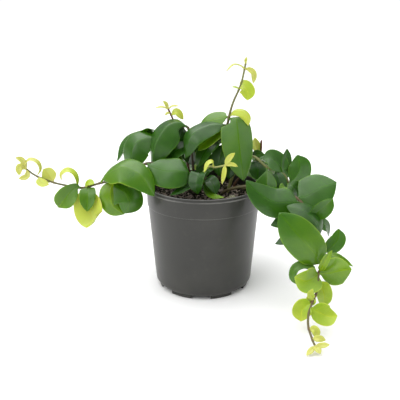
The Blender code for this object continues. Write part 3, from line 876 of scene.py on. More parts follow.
@dataclass(frozen=True)
class Stem:
    """One leafy stem, in millimetres from the pot's axis.

    Args:
        path: the points that it runs through.
        radii: its radius at the root and at the tip.
        age: how green it is at the root and at the tip, from 0, woody, to 1, new.
        blush: how red-brown it is at the root and at the tip.
        young: whether its leaves take the finish of new ones.
        leaves: what grows from it.
    """

    path: tuple[Point, ...]
    radii: Span
    age: Span
    blush: Span
    young: bool = False
    leaves: tuple[Leaf, ...] = ()

    AROUND = 16
    ROWS_A_STEP = 9
    TIP_INSET = 0.1
    SIDE = (0.3, -0.9, 0.2)
    # A node: how far its swelling reaches, how much thicker it is, and how much more it blushes.
    NODE_REACH = 1.6
    NODE_SWELL = 0.28
    NODE_BLUSH = 0.15
    # The round tip's least width, squared, and the dents of the stem.
    TIP_LEAST = 0.02
    DENT_SCALE = 0.5
    DENT_HEIGHT = 0.12

    def bearing(self, *leaves: Leaf) -> "Stem":
        """The same stem with these leaves."""
        return replace(self, leaves=leaves)

    def build(self, name: str, axis: Vector) -> list[bpy.types.Object]:
        """Makes the stem and its leaves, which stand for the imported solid.

        Args:
            name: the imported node's name.
            axis: where the pot's axis stands, in metres.

        Returns:
            The leaves' object and the stem's.
        """
        draw = random.Random(name)
        points, marks = smooth_path(self.path, self.ROWS_A_STEP * (len(self.path) - 1) + 1)
        spots = [min(leaf.at, len(self.path) - 1 - self.TIP_INSET) for leaf in self.leaves]
        blades = Shaper("age", "across", "along", "edge")
        for leaf, at in zip(self.leaves, spots):
            leaf.grow(blades, [np.interp(at, marks, points[:, k]) for k in range(3)], draw)
        rod = Shaper("age", "blush")
        self.draw_rod(rod, points, marks, spots)
        skin = YOUNG_SKIN if self.young else LEAF_SKIN
        made = [blades.finish(f"{name}_leaves", skin, axis), rod.finish(f"{name}_stalk", STEM_SKIN, axis)]
        for piece in made:
            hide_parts(name)
        return made

    def draw_rod(self, rod: Shaper, points: np.ndarray, marks: np.ndarray, spots: list[float]) -> None:
        """Adds the stem itself: a tapered tube that swells at each node and rounds off at its tip.

        Args:
            rod: what it is added to; its layers are age and blush.
            points: the stem's line.
            marks: where each of them lies, counted in the stem's own points.
            spots: where the leaves grow, counted the same way.
        """
        rows = len(points) - 1
        normals, sides = frames(points, self.SIDE)
        run = run_length(points)
        nodes = [float(np.interp(spot, marks, run)) for spot in spots]

        def place(turn: float, row: int) -> tuple[Vector, dict[str, float]]:
            """Works out one point.

            Args:
                turn: its turn round the stem.
                row: its row along the stem.

            Returns:
                The point, in millimetres, and its layers' values.
            """
            share = row / rows
            swell = max(math.exp(-(((run[row] - at) / self.NODE_REACH) ** 2)) for at in nodes)
            close = (run[-1] - run[row]) / self.radii[1]
            radius = blend(self.radii, share) * (1 + self.NODE_SWELL * swell)
            radius *= math.sqrt(max(self.TIP_LEAST, min(1.0, close)))
            around = sides[row] * math.cos(turn) + normals[row] * math.sin(turn)
            spot = points[row] + around * radius
            spot = spot + around * noise.noise(Vector(spot) * self.DENT_SCALE) * self.DENT_HEIGHT
            blush = blend(self.blush, share) + self.NODE_BLUSH * swell
            return Vector(spot), {"age": blend(self.age, share), "blush": blush}

        rod.sleeve(self.AROUND, rows, place)


STEMS = {
    "left_trailing_stem": Stem(
        ((-14, -4, 90), (-15, -4, 106), (-30, -9, 128), (-57, -18, 137), (-89, -28, 123),
         (-103, -30, 120), (-116, -30, 116), (-124, -30, 115), (-145, -30, 119), (-160, -30, 124),
         (-168, -30, 128), (-177, -30, 135)),
        radii=(1.7, 0.85), age=(0.15, 0.6), blush=(0.35, 0.25),
    ).bearing(
        # This leaf's lower tip_age paints shade on its point, where the blade curls away.
        Leaf(3, ((5, -8, -1), (18, -13, -4), (32, -15, -4), (42, -12, -6), (43, -5, -10)), 34,
             (0.1, -0.8, 0.6), 0.2, tip_age=0.08, cup=-0.3, widest=0.5, crease=1.3),
        Leaf(5, ((9, -4, 12), (25, -10, 19), (43, -15, 11), (55, -19, -8)), 34, (0.1, -0.6, 0.8), 0.4,
             tip_age=0.22, cup=-0.35, widest=0.41, crease=1.3),
        Leaf(4, ((-4, -8, -12), (-1, -10, -25), (9, -8, -34)), 23, (-0.3, 0.9, 0.1), 0.36, tip_age=0.3,
             cup=0.4),
        Leaf(4.3, ((15, -6, -9), (21, -9, -20), (15, -9, -31)), 33, (0.3, -0.9, 0.3), 0.18, tip_age=0.26,
             cup=-0.4, widest=0.58),
        Leaf(6, ((0, -4, -12), (2, -8, -24), (7, -13, -32), (10, -19, -26)), 30, (-0.1, 0.9, 0.3), 0.78,
             cup=-0.35, under=0.08),
        Leaf(6.4, ((4, 0, 5), (10, -3, 5)), 8, (0, -0.6, 0.8), 0.68),
        Leaf(6.9, ((-4, -4, 2), (-10, -6, -3), (-16, -8, -10), (-22, -9, -18)), 22, (0.3, -1, 0.2), 0.28,
             tip_age=0.42, cup=0.5, widest=0.6, crease=1.1),
        Leaf(8.3, ((-3, 2, 4), (-6, 3, 9), (-10, 3, 13)), 16, (0, -1, 0.2), 0.95),
        Leaf(10.9, ((0, 0, 6), (5, 0, 10), (12, 0, 7), (14, 0, 0), (11, -1, -6)), 6, (0, -0.3, 1), 1),
        Leaf(9.5, ((3, -4, -4), (11, -6, -6)), 9, (0, -0.8, 0.6), 0.9),
        Leaf(11, ((-3, 0, 9), (-9, -1, 12)), 6, (0, -0.9, 0.4), 1),
        Leaf(11, ((-5, -3, 3), (-6, -5, -5)), 7, (0, -1, 0.2), 1),
        Leaf(10.8, ((0, -3, -6), (-8, -4, -8)), 6, (-0.2, -0.9, 0.3), 1),
        Leaf(6, ((1, -7, -6), (0, -12, -22)), 17, (0, -1, 0.2), 0.32, widest=0.3),
        Leaf(7.15, ((0, 1, 8), (-3, 1, 15), (-9, 0, 18), (-15, -1, 14), (-15, -2, 8)), 7,
             (-0.2, -0.4, 0.9), 0.55, tip_age=1),
    ),
    "back_left_stem": Stem(
        ((-10, 8, 90), (-10, 8, 106), (-12, 6, 140), (-16, 2, 170), (-30, 8, 166), (-50, 12, 156)),
        radii=(1.6, 1.0), age=(0.1, 0.5), blush=(0.4, 0.1),
    ).bearing(
        Leaf(3, ((-10, -2, 6), (-22, -6, 1), (-32, -9, -13), (-37, -10, -38)), 39, (-0.4, -0.7, 0.6),
             0.08, cup=-0.55, crease=1.05),
        Leaf(5, ((-12, -4, 1), (-25, -8, -7), (-31, -10, -34)), 36, (-0.35, -0.75, 0.55), 0.12, cup=-0.4,
             crease=1.2),
        Leaf(4.5, ((-10, 14, 2), (-24, 22, -6), (-32, 26, -20)), 28, (-0.5, 0.4, 0.8), 0.15),
        Leaf(5, ((-16, 8, -2), (-34, 12, -10), (-46, 12, -28)), 26, (-0.4, -0.4, 0.8), 0.1),
        # This low leaf takes the darkest age: its mature colour together with painted shade inside the
        # crown.
        Leaf(2.4, ((-8, -4, -4), (-18, -8, -10), (-24, -10, -24)), 20, (-0.3, -0.7, 0.6), 0.02),
        Leaf(3.4, ((-2, 4, -8), (-6, 4, -20), (-6, 3, -32)), 20, (-0.1, -0.9, 0.3), 0.0),
    ),
    "red_tip_stem": Stem(
        ((-14, 28, 90), (-14, 28, 106), (-20, 27, 138), (-27, 24, 160), (-32, 23, 174), (-38, 22, 188)),
        radii=(1.5, 0.8), age=(0.2, 0.6), blush=(0.5, 0.9),
    ).bearing(
        Leaf(4.4, ((6, -2, 4), (13, -3, -4)), 8, (0, -0.8, 0.6), 0.85),
        Leaf(5, ((-6, 0, 2), (-13, -1, 1)), 3, (0, -0.5, 0.9), 1),
        Leaf(5, ((-2, 0, 5), (-5, 0, 8)), 4, (0, -0.9, 0.4), 1),
        Leaf(5, ((5, 0, 3), (11, -1, 3)), 3, (0, -0.5, 0.9), 1),
        Leaf(2.6, ((-2, 13, 3), (-6, 26, -1), (-12, 34, -16)), 28, (-0.1, 0.5, 0.8), 0.15),
        Leaf(4.6, ((-2, -2, 0), (-5, -3, -2)), 3, (0, -0.8, 0.6), 0.95),
        Leaf(1.6, ((2, -5, 8), (5, -9, 15), (8, -11, 22)), 20, (0, -0.8, 0.5), 0.02),
    ),
    "centre_upright_stem": Stem(
        ((14, 2, 90), (14, 2, 106), (20, 0, 147), (26, -2, 182), (30, 0, 196), (36, 0, 210), (39, 0, 220),
         (42, 0, 236)),
        radii=(1.8, 0.8), age=(0.2, 0.75), blush=(0.3, 0.2),
    ).bearing(
        Leaf(2.9, ((7, -10, 1), (10, -19, -22), (15, -25, -58)), 35, (0.1, -0.9, 0.4), 0.24, cup=-0.5,
             widest=0.36, crease=1.0),
        Leaf(2.7, ((-18, -7, 1), (-37, -13, -9), (-43, -12, -32)), 27, (-0.4, -0.6, 0.7), 0.05, cup=-0.35,
             crease=1.1),
        Leaf(3, ((-10, 4, -2), (-22, 6, -7), (-30, 6, -18)), 22, (-0.3, -0.6, 0.7), 0.36, cup=-0.2),
        Leaf(3, ((6, 0, 5), (13, -2, 5), (18, -5, 0), (19, -7, -8)), 12, (0.3, -0.7, 0.6), 0.78,
             cup=-0.4),
        Leaf(5, ((4, -2, 2), (8, -4, -3), (8, -6, -11)), 16, (0.1, -1, 0.3), 0.75, widest=0.4),
        Leaf(6.6, ((-4, 0, 3), (-11, -1, 4), (-18, -2, -2)), 4, (0, -0.2, 1), 0.9),
        Leaf(6.6, ((5, 0, -1), (9, -1, -5), (9, -2, -14)), 7, (0.4, -0.8, 0.4), 1),
        Leaf(7, ((0, 0, 3), (1, 0, 6)), 3, (0, -1, 0), 1),
        Leaf(2.2, ((4, 14, 10), (8, 27, 8), (12, 36, -10)), 30, (0.1, 0.6, 0.8), 0.14),
        # The leaves here with ages near 0 fill the crown under the big leaves: their dark colour is
        # partly their own and partly painted shade.
        Leaf(2.3, ((-9, -3, -2), (-20, -6, -12), (-28, -8, -28)), 20, (-0.3, -0.6, 0.7), 0.05),
        Leaf(1.9, ((-8, 8, 4), (-18, 12, 2), (-25, 14, -10)), 20, (-0.3, 0.3, 0.9), 0.15),
        Leaf(2.6, ((-9, -4, -4), (-20, -8, -12), (-29, -10, -21)), 15, (-0.2, -0.8, 0.5), 0.4),
        Leaf(2.2, ((-2, -4, -6), (-5, -7, -16), (-5, -9, -33)), 18, (-0.4, -0.9, 0.2), 0.04),
        Leaf(2.5, ((-12, 7, 0), (-25, 9, -6), (-32, 9, -24)), 24, (-0.2, -0.8, 0.5), 0.05),
        Leaf(5, ((-3, 0, 1), (-7, -1, 2)), 3, (0, -0.5, 0.9), 0.7),
        Leaf(1.6, ((-8, -4, 4), (-16, -7, 0), (-20, -8, -12)), 18, (-0.2, -0.9, 0.4), 0.04),
        Leaf(1.8, ((4, -6, 0), (8, -10, -8), (8, -11, -20)), 16, (0.2, -0.9, 0.3), 0.0),
    ),
    "front_star_shoot": Stem(
        ((2, -14, 90), (2, -14, 106), (-1, -24, 126), (5, -32, 137), (12, -37, 138), (22, -41, 141)),
        radii=(1.5, 0.9), age=(0.55, 1.0), blush=(0.2, 0.1), young=True,
    ).bearing(
        Leaf(5, ((4, -2, 8), (9, -3, 13)), 6, (-0.2, -1, 0.2), 0.9, cup=0.5),
        Leaf(5, ((6, -3, 2), (12, -4, 0)), 4, (0, -1, 0.3), 0.9),
        Leaf(5, ((-1, -4, -6), (-3, -6, -17)), 5, (0, -1, 0.2), 0.88, cup=0.5, widest=0.35),
        Leaf(3.7, ((-1, -2, 6), (-6, -4, 4), (-9, -5, -4)), 5, (0, -0.6, 0.8), 0.85),
        # The low leaves of age 0 here sit in deep shade at the front: their dark colour is partly their
        # own and partly painted shade, and the one at 1.6 paints the dark shade before the soil.
        Leaf(2, ((-3, -9, 5), (-6, -14, -3), (-5, -15, -15)), 18, (-0.5, -0.8, 0.3), 0),
        Leaf(1.5, ((-14, -12, 1), (-26, -18, -4), (-33, -21, -6)), 12, (-0.2, -0.5, 0.9), 0),
        Leaf(1.5, ((3, -9, -4), (9, -18, -8), (20, -23, -8)), 8, (0, -0.6, 0.8), 0.12, tip_age=0.5),
        Leaf(1.6, ((5, -7, 4), (10, -12, 0), (13, -15, -9)), 14, (0.3, -0.8, 0.4), 0),
    ),
    "right_upright_stub": Stem(
        ((34, 16, 90), (34, 16, 106), (52, 20, 125), (61, 20, 138), (62, 20, 154)),
        radii=(1.3, 1.1), age=(0.1, 0.5), blush=(0.6, 0.9),
    ).bearing(
        Leaf(3, ((-3, 0, 5), (-5, 0, 11), (-6, 1, 18)), 10, (0.3, -0.9, 0.2), 0.9),
        Leaf(2.6, ((-5, 9, 0), (-10, 16, -4), (-17, 21, -14)), 16, (0.2, 0.4, 0.9), 0.12),
        Leaf(2, ((16, 6, 8), (30, 10, 8), (38, 12, -4)), 22, (0.1, 0.2, 0.9), 0.12),
        Leaf(2.4, ((1, -5, -2), (2, -9, -9), (1, -11, -18)), 21, (0.1, -0.9, 0.4), 0.0),
        Leaf(2.8, ((-5, -4, 0), (-3, -8, 5), (5, -10, 4)), 9, (0, -0.7, 0.7), 0.12),
    ),
    "right_arching_stem": Stem(
        ((26, -6, 90), (26, -6, 106), (36, -8, 132), (50, -12, 143), (64, -20, 134), (80, -26, 128),
         (86, -28, 118)),
        radii=(1.6, 1.2), age=(0.75, 0.6), blush=(0.1, 0.1),
    ).bearing(
        Leaf(4, ((0, -6, -10), (-1, -10, -24)), 23, (-0.3, -0.9, 0.3), 0.2, widest=0.72),
        Leaf(5, ((-4, 3, 8), (-12, 6, 15), (-20, 8, 14)), 22, (0, -0.75, 0.65), 0.08),
        Leaf(6, ((8, 4, 6), (12, 9, 15), (10, 14, 26)), 24, (0.1, -0.85, 0.5), 0.13),
        Leaf(5.6, ((-1, 6, 12), (0, 10, 30)), 13, (0.4, -0.9, 0.1), 0.06),
        Leaf(6, ((-4, -4, -2), (-10, -8, -4)), 9, (0, -0.8, 0.6), 0.36),
        Leaf(4.5, ((2, -4, -6), (4, -7, -16), (3, -8, -26)), 16, (-0.2, -0.9, 0.3), 0),
        Leaf(6, ((4, -3, -2), (8, -3, -7), (9, -3, -14)), 17, (0.2, -0.8, 0.5), 0.1),
    ),
    "right_trailing_stem": Stem(
        ((20, -18, 90), (20, -18, 106), (44, -32, 117), (68, -40, 113), (91, -46, 109), (104, -58, 92),
         (113, -70, 72), (115, -80, 56), (108, -88, 48), (105, -100, 36), (97, -112, 26), (93, -126, 17),
         (95, -138, 9), (97, -144, 5)),
        radii=(1.8, 0.95), age=(0.2, 0.55), blush=(0.3, 0.4),
    ).bearing(
        Leaf(4.25, ((-13, -3, 1), (-28, -4, 2), (-44, -2, 12), (-54, 1, 22)), 31, (-0.2, -0.8, 0.6), 0.12,
             tip_age=0.06, cup=-0.3, widest=0.26),
        Leaf(4, ((11, 2, 2), (22, 5, 8), (40, 8, 14)), 39, (0.1, -0.7, 0.7), 0.13, cup=-0.2, widest=0.36),
        Leaf(5, ((8, -3, 10), (15, -4, 17), (19, -3, 21)), 18, (0.1, -0.95, 0.1), 0.22, cup=0.4),
        Leaf(5.8, ((-4, 0, 15), (-17, 5, 26), (-32, 9, 29)), 26, (0.3, -0.7, 0.8), 0.05, cup=-0.25),
        Leaf(7.3, ((-9, -5, 14), (-26, -5, 33), (-44, 1, 53)), 34, (-0.1, -0.9, 0.4), 0.42, tip_age=0.2,
             cup=-0.2),
        Leaf(6.5, ((7, 2, 6), (13, 4, 13), (14, 8, 22)), 16, (0.2, -0.75, 0.6), 0.22),
        Leaf(8, ((9, -5, 3), (18, -8, 7), (28, -9, 9)), 27, (0.1, -0.9, 0.4), 0.38, tip_age=0.5,
             cup=-0.35),
        Leaf(8, ((-6, -6, -2), (-14, -9, -3), (-24, -9, 1)), 25, (0, -1, 0.3), 0.45, tip_age=0.66,
             cup=0.5),
        Leaf(8.4, ((4, -3, -7), (6, -5, -15), (5, -7, -24)), 17, (0.3, -0.9, 0.2), 0.64),
        Leaf(9.8, ((-4, -2, 0), (-9, -4, -5), (-10, -7, -14)), 18, (-0.3, -0.9, 0.2), 0.6, tip_age=0.76),
        Leaf(10, ((8, -2, -4), (16, -4, -7), (24, -5, -6)), 20, (0.1, -0.9, 0.4), 0.62, tip_age=0.7),
        Leaf(11.3, ((5, -2, 0), (8, -3, -7)), 8, (0.1, -0.9, 0.4), 0.88),
        Leaf(12, ((5, -2, 2), (11, -3, 1)), 6, (0.1, -0.8, 0.5), 0.97),
        Leaf(13, ((-4, -4, -1), (-9, -9, -3)), 5, (0, -0.5, 0.9), 1),
        Leaf(13, ((5, -3, 3), (11, -5, 5)), 5, (0, -0.8, 0.6), 1),
        Leaf(13, ((1, -4, 0), (3, -8, -2)), 6, (0, -0.5, 0.9), 1),
        Leaf(5.6, ((-14, 5, 8), (-30, 10, 8), (-44, 14, 3)), 22, (0, -0.6, 0.8), 0.05),
        Leaf(4.7, ((-10, 2, 0), (-22, 5, -3), (-36, 8, -6)), 14, (0, -0.7, 0.7), 0.5),
        Leaf(9.6, ((-3, -1, 8), (-1, -2, 13)), 7, (0, -0.9, 0.4), 0.75),
        Leaf(6.8, ((8, -3, 5), (17, -6, 1), (25, -8, -4)), 6, (0.2, -0.8, 0.5), 0.42),
        Leaf(8.1, ((-6, 3, 6), (-13, 4, 9), (-21, 4, 5), (-23, 2, -4), (-16, 0, -11)), 9,
             (-0.5, -0.7, 0.5), 0.3),
        Leaf(7.8, ((1, -6, 8), (4, -8, 17), (8, -9, 25)), 8, (-0.3, -0.9, 0.3), 0.5, cup=0.7),
        Leaf(9.3, ((-4, -3, -2), (-7, -5, -8)), 10, (0, -0.9, 0.4), 0.75),
        Leaf(6.2, ((-14, 6, 4), (-30, 9, 4), (-44, 10, -1)), 16, (0, -0.6, 0.8), 0),
        Leaf(5.4, ((6, 4, 2), (12, 8, -2), (16, 10, -12)), 14, (0.6, -0.6, 0.5), 0.1),
    ),
    "back_stem": Stem(
        ((2, 30, 90), (2, 30, 106), (2, 46, 120), (0, 62, 120), (-2, 72, 106)),
        radii=(1.6, 1.0), age=(0.2, 0.5), blush=(0.3, 0.2),
    ).bearing(
        Leaf(2, ((12, 3, 5), (24, 7, 0), (30, 10, -14)), 28, (0.2, 0.5, 0.8), 0.12),
        Leaf(2.4, ((-13, -2, 5), (-27, -2, 0), (-38, -2, -14)), 28, (-0.2, 0.4, 0.8), 0.2),
        Leaf(3, ((12, 6, 2), (24, 14, -8), (30, 18, -24)), 30, (0.3, 0.8, 0.5), 0.15),
        Leaf(3.4, ((-12, 4, 0), (-24, 10, -10), (-30, 12, -24)), 28, (-0.3, 0.8, 0.5), 0.1),
        Leaf(4, ((3, 8, -10), (5, 11, -22), (3, 10, -34)), 24, (0.1, 0.9, 0.2), 0.25),
        Leaf(4, ((-6, 5, 3), (-12, 8, -4)), 9, (0, 0.8, 0.6), 0.5),
    ),
    "back_right_stem": Stem(
        ((30, 34, 90), (30, 34, 106), (42, 48, 120), (52, 60, 121), (60, 70, 106)),
        radii=(1.5, 1.0), age=(0.2, 0.5), blush=(0.3, 0.2),
    ).bearing(
        Leaf(2.4, ((14, 0, 3), (28, 2, -3), (35, 4, -17)), 26, (0.5, 0.1, 0.8), 0.15),
        Leaf(2.8, ((-4, 12, 6), (-9, 24, 2), (-12, 33, -14)), 28, (-0.1, 0.6, 0.7), 0.1),
        Leaf(3.3, ((12, 4, 2), (22, 9, -8), (26, 12, -24)), 28, (0.6, 0.4, 0.6), 0.2),
        Leaf(4, ((0, 10, -8), (0, 14, -20), (-3, 13, -32)), 24, (0.1, 0.9, 0.3), 0.15),
        Leaf(4, ((4, 5, 5), (9, 8, 0)), 9, (0.3, 0.3, 0.9), 0.5),
    ),
}


@dataclass(frozen=True)
class NurseryPot:
    """The round nursery pot, in millimetres about its axis, with its foot on z = 0.

    Args:
        rim_radius: the collar's outer radius.
        height: the top of the bead that stands on the collar.
        edge_z: the top of the collar's outer edge.
        collar_z: the collar's lower edge.
        collar_step, collar_taper: how far inside the rim the wall and the collar's lower edge are.
        bead_radius: the bead's outer radius.
        base_radius: the wall's line, carried down to the floor.
        wall: the wall's thickness, and floor the floor's.
        edge_round, fillet: the radii of the collar's upper edge and of the small roundings.
        base_round: the radius of the rounded lower edge, with its centre at base_round_z.
        gaps: how many gaps the foot ring has, and how many drain holes the floor has.
        gap_size: the block that cuts a gap; the first one is at first_gap, in degrees.
        drain_radius: a drain hole's radius; they stand on the circle drain_circle.
        sharp: the angle past which an edge looks sharp, in degrees.
        steps: how finely it is turned.
    """

    rim_radius: float = 60.0
    height: float = 111.0
    edge_z: float = 108.0
    collar_z: float = 91.0
    collar_step: float = 1.1
    collar_taper: float = 0.3
    collar_under: float = 0.1
    bead_radius: float = 58.4
    base_radius: float = 51.8
    middle_z: float = 50.0
    wall: float = 1.6
    edge_round: float = 0.4
    fillet: float = 0.35
    base_round: float = 7.0
    base_round_z: float = 9.5
    foot_height: float = 5.0
    foot_outer: float = 49.0
    foot_inner: float = 44.5
    foot_bevel: float = 0.6
    foot_round: float = 0.2
    floor: float = 2.0
    corner_cut: float = 5.0
    gaps: int = 7
    gap_size: Point = (14.0, 19.4, 8.0)
    first_gap: float = -93.0
    drain_radius: float = 5.0
    drain_circle: float = 30.0
    drain_cut: float = 20.0
    sharp: float = 38.0
    steps: int = 168

    def wall_radius(self, z: float) -> float:
        """The outer radius of the wall under the collar, at this height."""
        top = self.rim_radius - self.collar_step
        return self.base_radius + (top - self.base_radius) * z / self.collar_z

    def inside(self, clear: float) -> list[Span]:
        """The inner side, from the middle of the floor up to the collar.

        Args:
            clear: how far to keep off it.

        Returns:
            Points as (radius, height).
        """
        floor = self.foot_height + self.floor + clear
        corner = self.wall_radius(floor) - self.wall - clear
        return [
            (0, floor),
            (corner - self.corner_cut, floor),
            (corner, floor + self.corner_cut),
            (self.wall_radius(self.middle_z) - self.wall - clear, self.middle_z),
            (self.bead_radius - self.wall - clear, self.collar_z),
        ]

    @staticmethod
    def arc(centre: Span, radius: float, start: float, end: float) -> list[Span]:
        """Seven points on an arc of the section.

        Args:
            centre: its middle, as (radius, height).
            radius: its own radius.
            start: where it starts, in degrees from straight outwards.
            end: where it ends.

        Returns:
            Points as (radius, height).
        """
        turns = [math.radians(start + (end - start) * i / 6) for i in range(7)]
        return [(centre[0] + radius * math.cos(a), centre[1] + radius * math.sin(a)) for a in turns]

    def section(self) -> list[Span]:
        """The whole section: up the inside, over the rim, down the outside and under the foot.

        Returns:
            Points as (radius, height).
        """
        half = self.wall / 2
        edge = self.edge_round
        fillet = self.fillet
        lip = self.rim_radius - self.collar_taper
        under = self.wall_radius(self.collar_z)
        base = (self.wall_radius(self.base_round) - self.base_round, self.base_round_z)
        bevel = self.foot_bevel
        return [
            *self.inside(0),
            *self.arc((self.bead_radius - half, self.height - half), half, 180, 0),
            *self.arc((self.bead_radius + fillet, self.edge_z + fillet), fillet, 180, 270),
            *self.arc((self.rim_radius - edge, self.edge_z - edge), edge, 90, 0),
            *self.arc((lip - fillet, self.collar_z + fillet), fillet, 0, -90),
            (under, self.collar_z - self.collar_under),
            (under, self.collar_z - bevel),
            (self.wall_radius(self.middle_z), self.middle_z),
            *self.arc(base, self.base_round, 0, -60),
            (self.foot_outer, bevel),
            (self.foot_outer - self.foot_round, self.foot_round),
            (self.foot_outer - bevel, 0),
            (self.foot_inner, 0),
            (self.foot_inner, self.foot_height),
            (0, self.foot_height),
        ]

    def build(self, axis: Vector) -> bpy.types.Object:
        """Turns the pot and cuts the foot ring's gaps and the drain holes.

        Args:
            axis: where the pot's axis stands, in metres.

        Returns:
            The pot.
        """
        piece = turn_section(self.section(), self.steps).finish("pot_shell", POT_PLASTIC, axis)
        cutters = self.cutters(axis)
        for cutter in cutters:
            cut = piece.modifiers.new(cutter.name, "BOOLEAN")
            cut.operation = "DIFFERENCE"
            cut.object = cutter
        bpy.context.view_layer.update()
        shape = piece.evaluated_get(bpy.context.evaluated_depsgraph_get())
        whole = bpy.data.meshes.new_from_object(shape)
        piece.modifiers.clear()
        piece.data = whole
        for cutter in cutters:
            bpy.data.objects.remove(cutter)
        whole.set_sharp_from_angle(angle=math.radians(self.sharp))
        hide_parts("pot")
        return piece

    def cutters(self, axis: Vector) -> list[bpy.types.Object]:
        """Makes what cuts the foot ring's gaps and the drain holes.

        Args:
            axis: where the pot's axis stands, in metres.

        Returns:
            The blocks as one object, and the rods as another.
        """
        blocks, rods = bmesh.new(), bmesh.new()
        middle = (self.foot_outer + self.foot_inner) / 2
        size = Matrix.Diagonal(Vector(self.gap_size) * MM).to_4x4()
        radius = self.drain_radius * MM
        for index in range(self.gaps):
            turn = Matrix.Rotation(math.radians(self.first_gap) + math.tau * index / self.gaps, 4, "Z")
            block = turn @ Matrix.Translation((middle * MM, 0, 0)) @ size
            bmesh.ops.create_cube(blocks, size=1, matrix=block)
            rod = {
                "cap_ends": True,
                "segments": 32,
                "radius1": radius,
                "radius2": radius,
                "depth": self.drain_cut * MM,
                "matrix": turn @ Matrix.Translation((self.drain_circle * MM, 0, self.foot_height * MM)),
            }
            bmesh.ops.create_cone(rods, **rod)
        for cutter in (blocks, rods):
            bmesh.ops.translate(cutter, verts=cutter.verts, vec=axis)
        return [put_object("foot_gaps", blocks), put_object("drain_holes", rods)]


def turn_section(section: list[Span], steps: int) -> Shaper:
    """Turns a section about the pot's axis.

    Args:
        section: points as (radius, height), in millimetres.
        steps: how many steps the turn has.

    Returns:
        The turned surface, with its seam and poles closed.
    """
    shaper = Shaper()
    mesh = shaper.mesh
    line = [mesh.verts.new((radius * MM, 0, height * MM)) for radius, height in section]
    edges = [mesh.edges.new(pair) for pair in zip(line, line[1:])]
    turn = {"cent": (0, 0, 0), "axis": (0, 0, 1), "dvec": (0, 0, 0), "angle": math.tau, "steps": steps}
    bmesh.ops.spin(mesh, geom=[*line, *edges], use_merge=True, use_duplicate=False, **turn)
    bmesh.ops.remove_doubles(mesh, verts=mesh.verts, dist=WELD)
    return shaper


class Bit(Enum):
    """What lies on the soil: its size in millimetres, how its tint may vary, and how many there are."""

    CRUMB = ((2.6, 2.1, 1.6), (0.0, 0.22), 1100)
    FLAKE = ((5.0, 3.0, 0.9), (0.05, 0.42), 110)
    FIBRE = ((8.0, 0.55, 0.5), (0.20, 0.60), 60)
    GRAIN = ((2.2, 1.9, 1.7), (0.86, 1.00), 16)

    def __init__(self, size: Point, tints: Span, count: int) -> None:
        """Args:
            size: its mean size along each side.
            tints: the darkest and palest tint.
            count: how many lie on the soil.
        """
        self.size = size
        self.tints = tints
        self.count = count


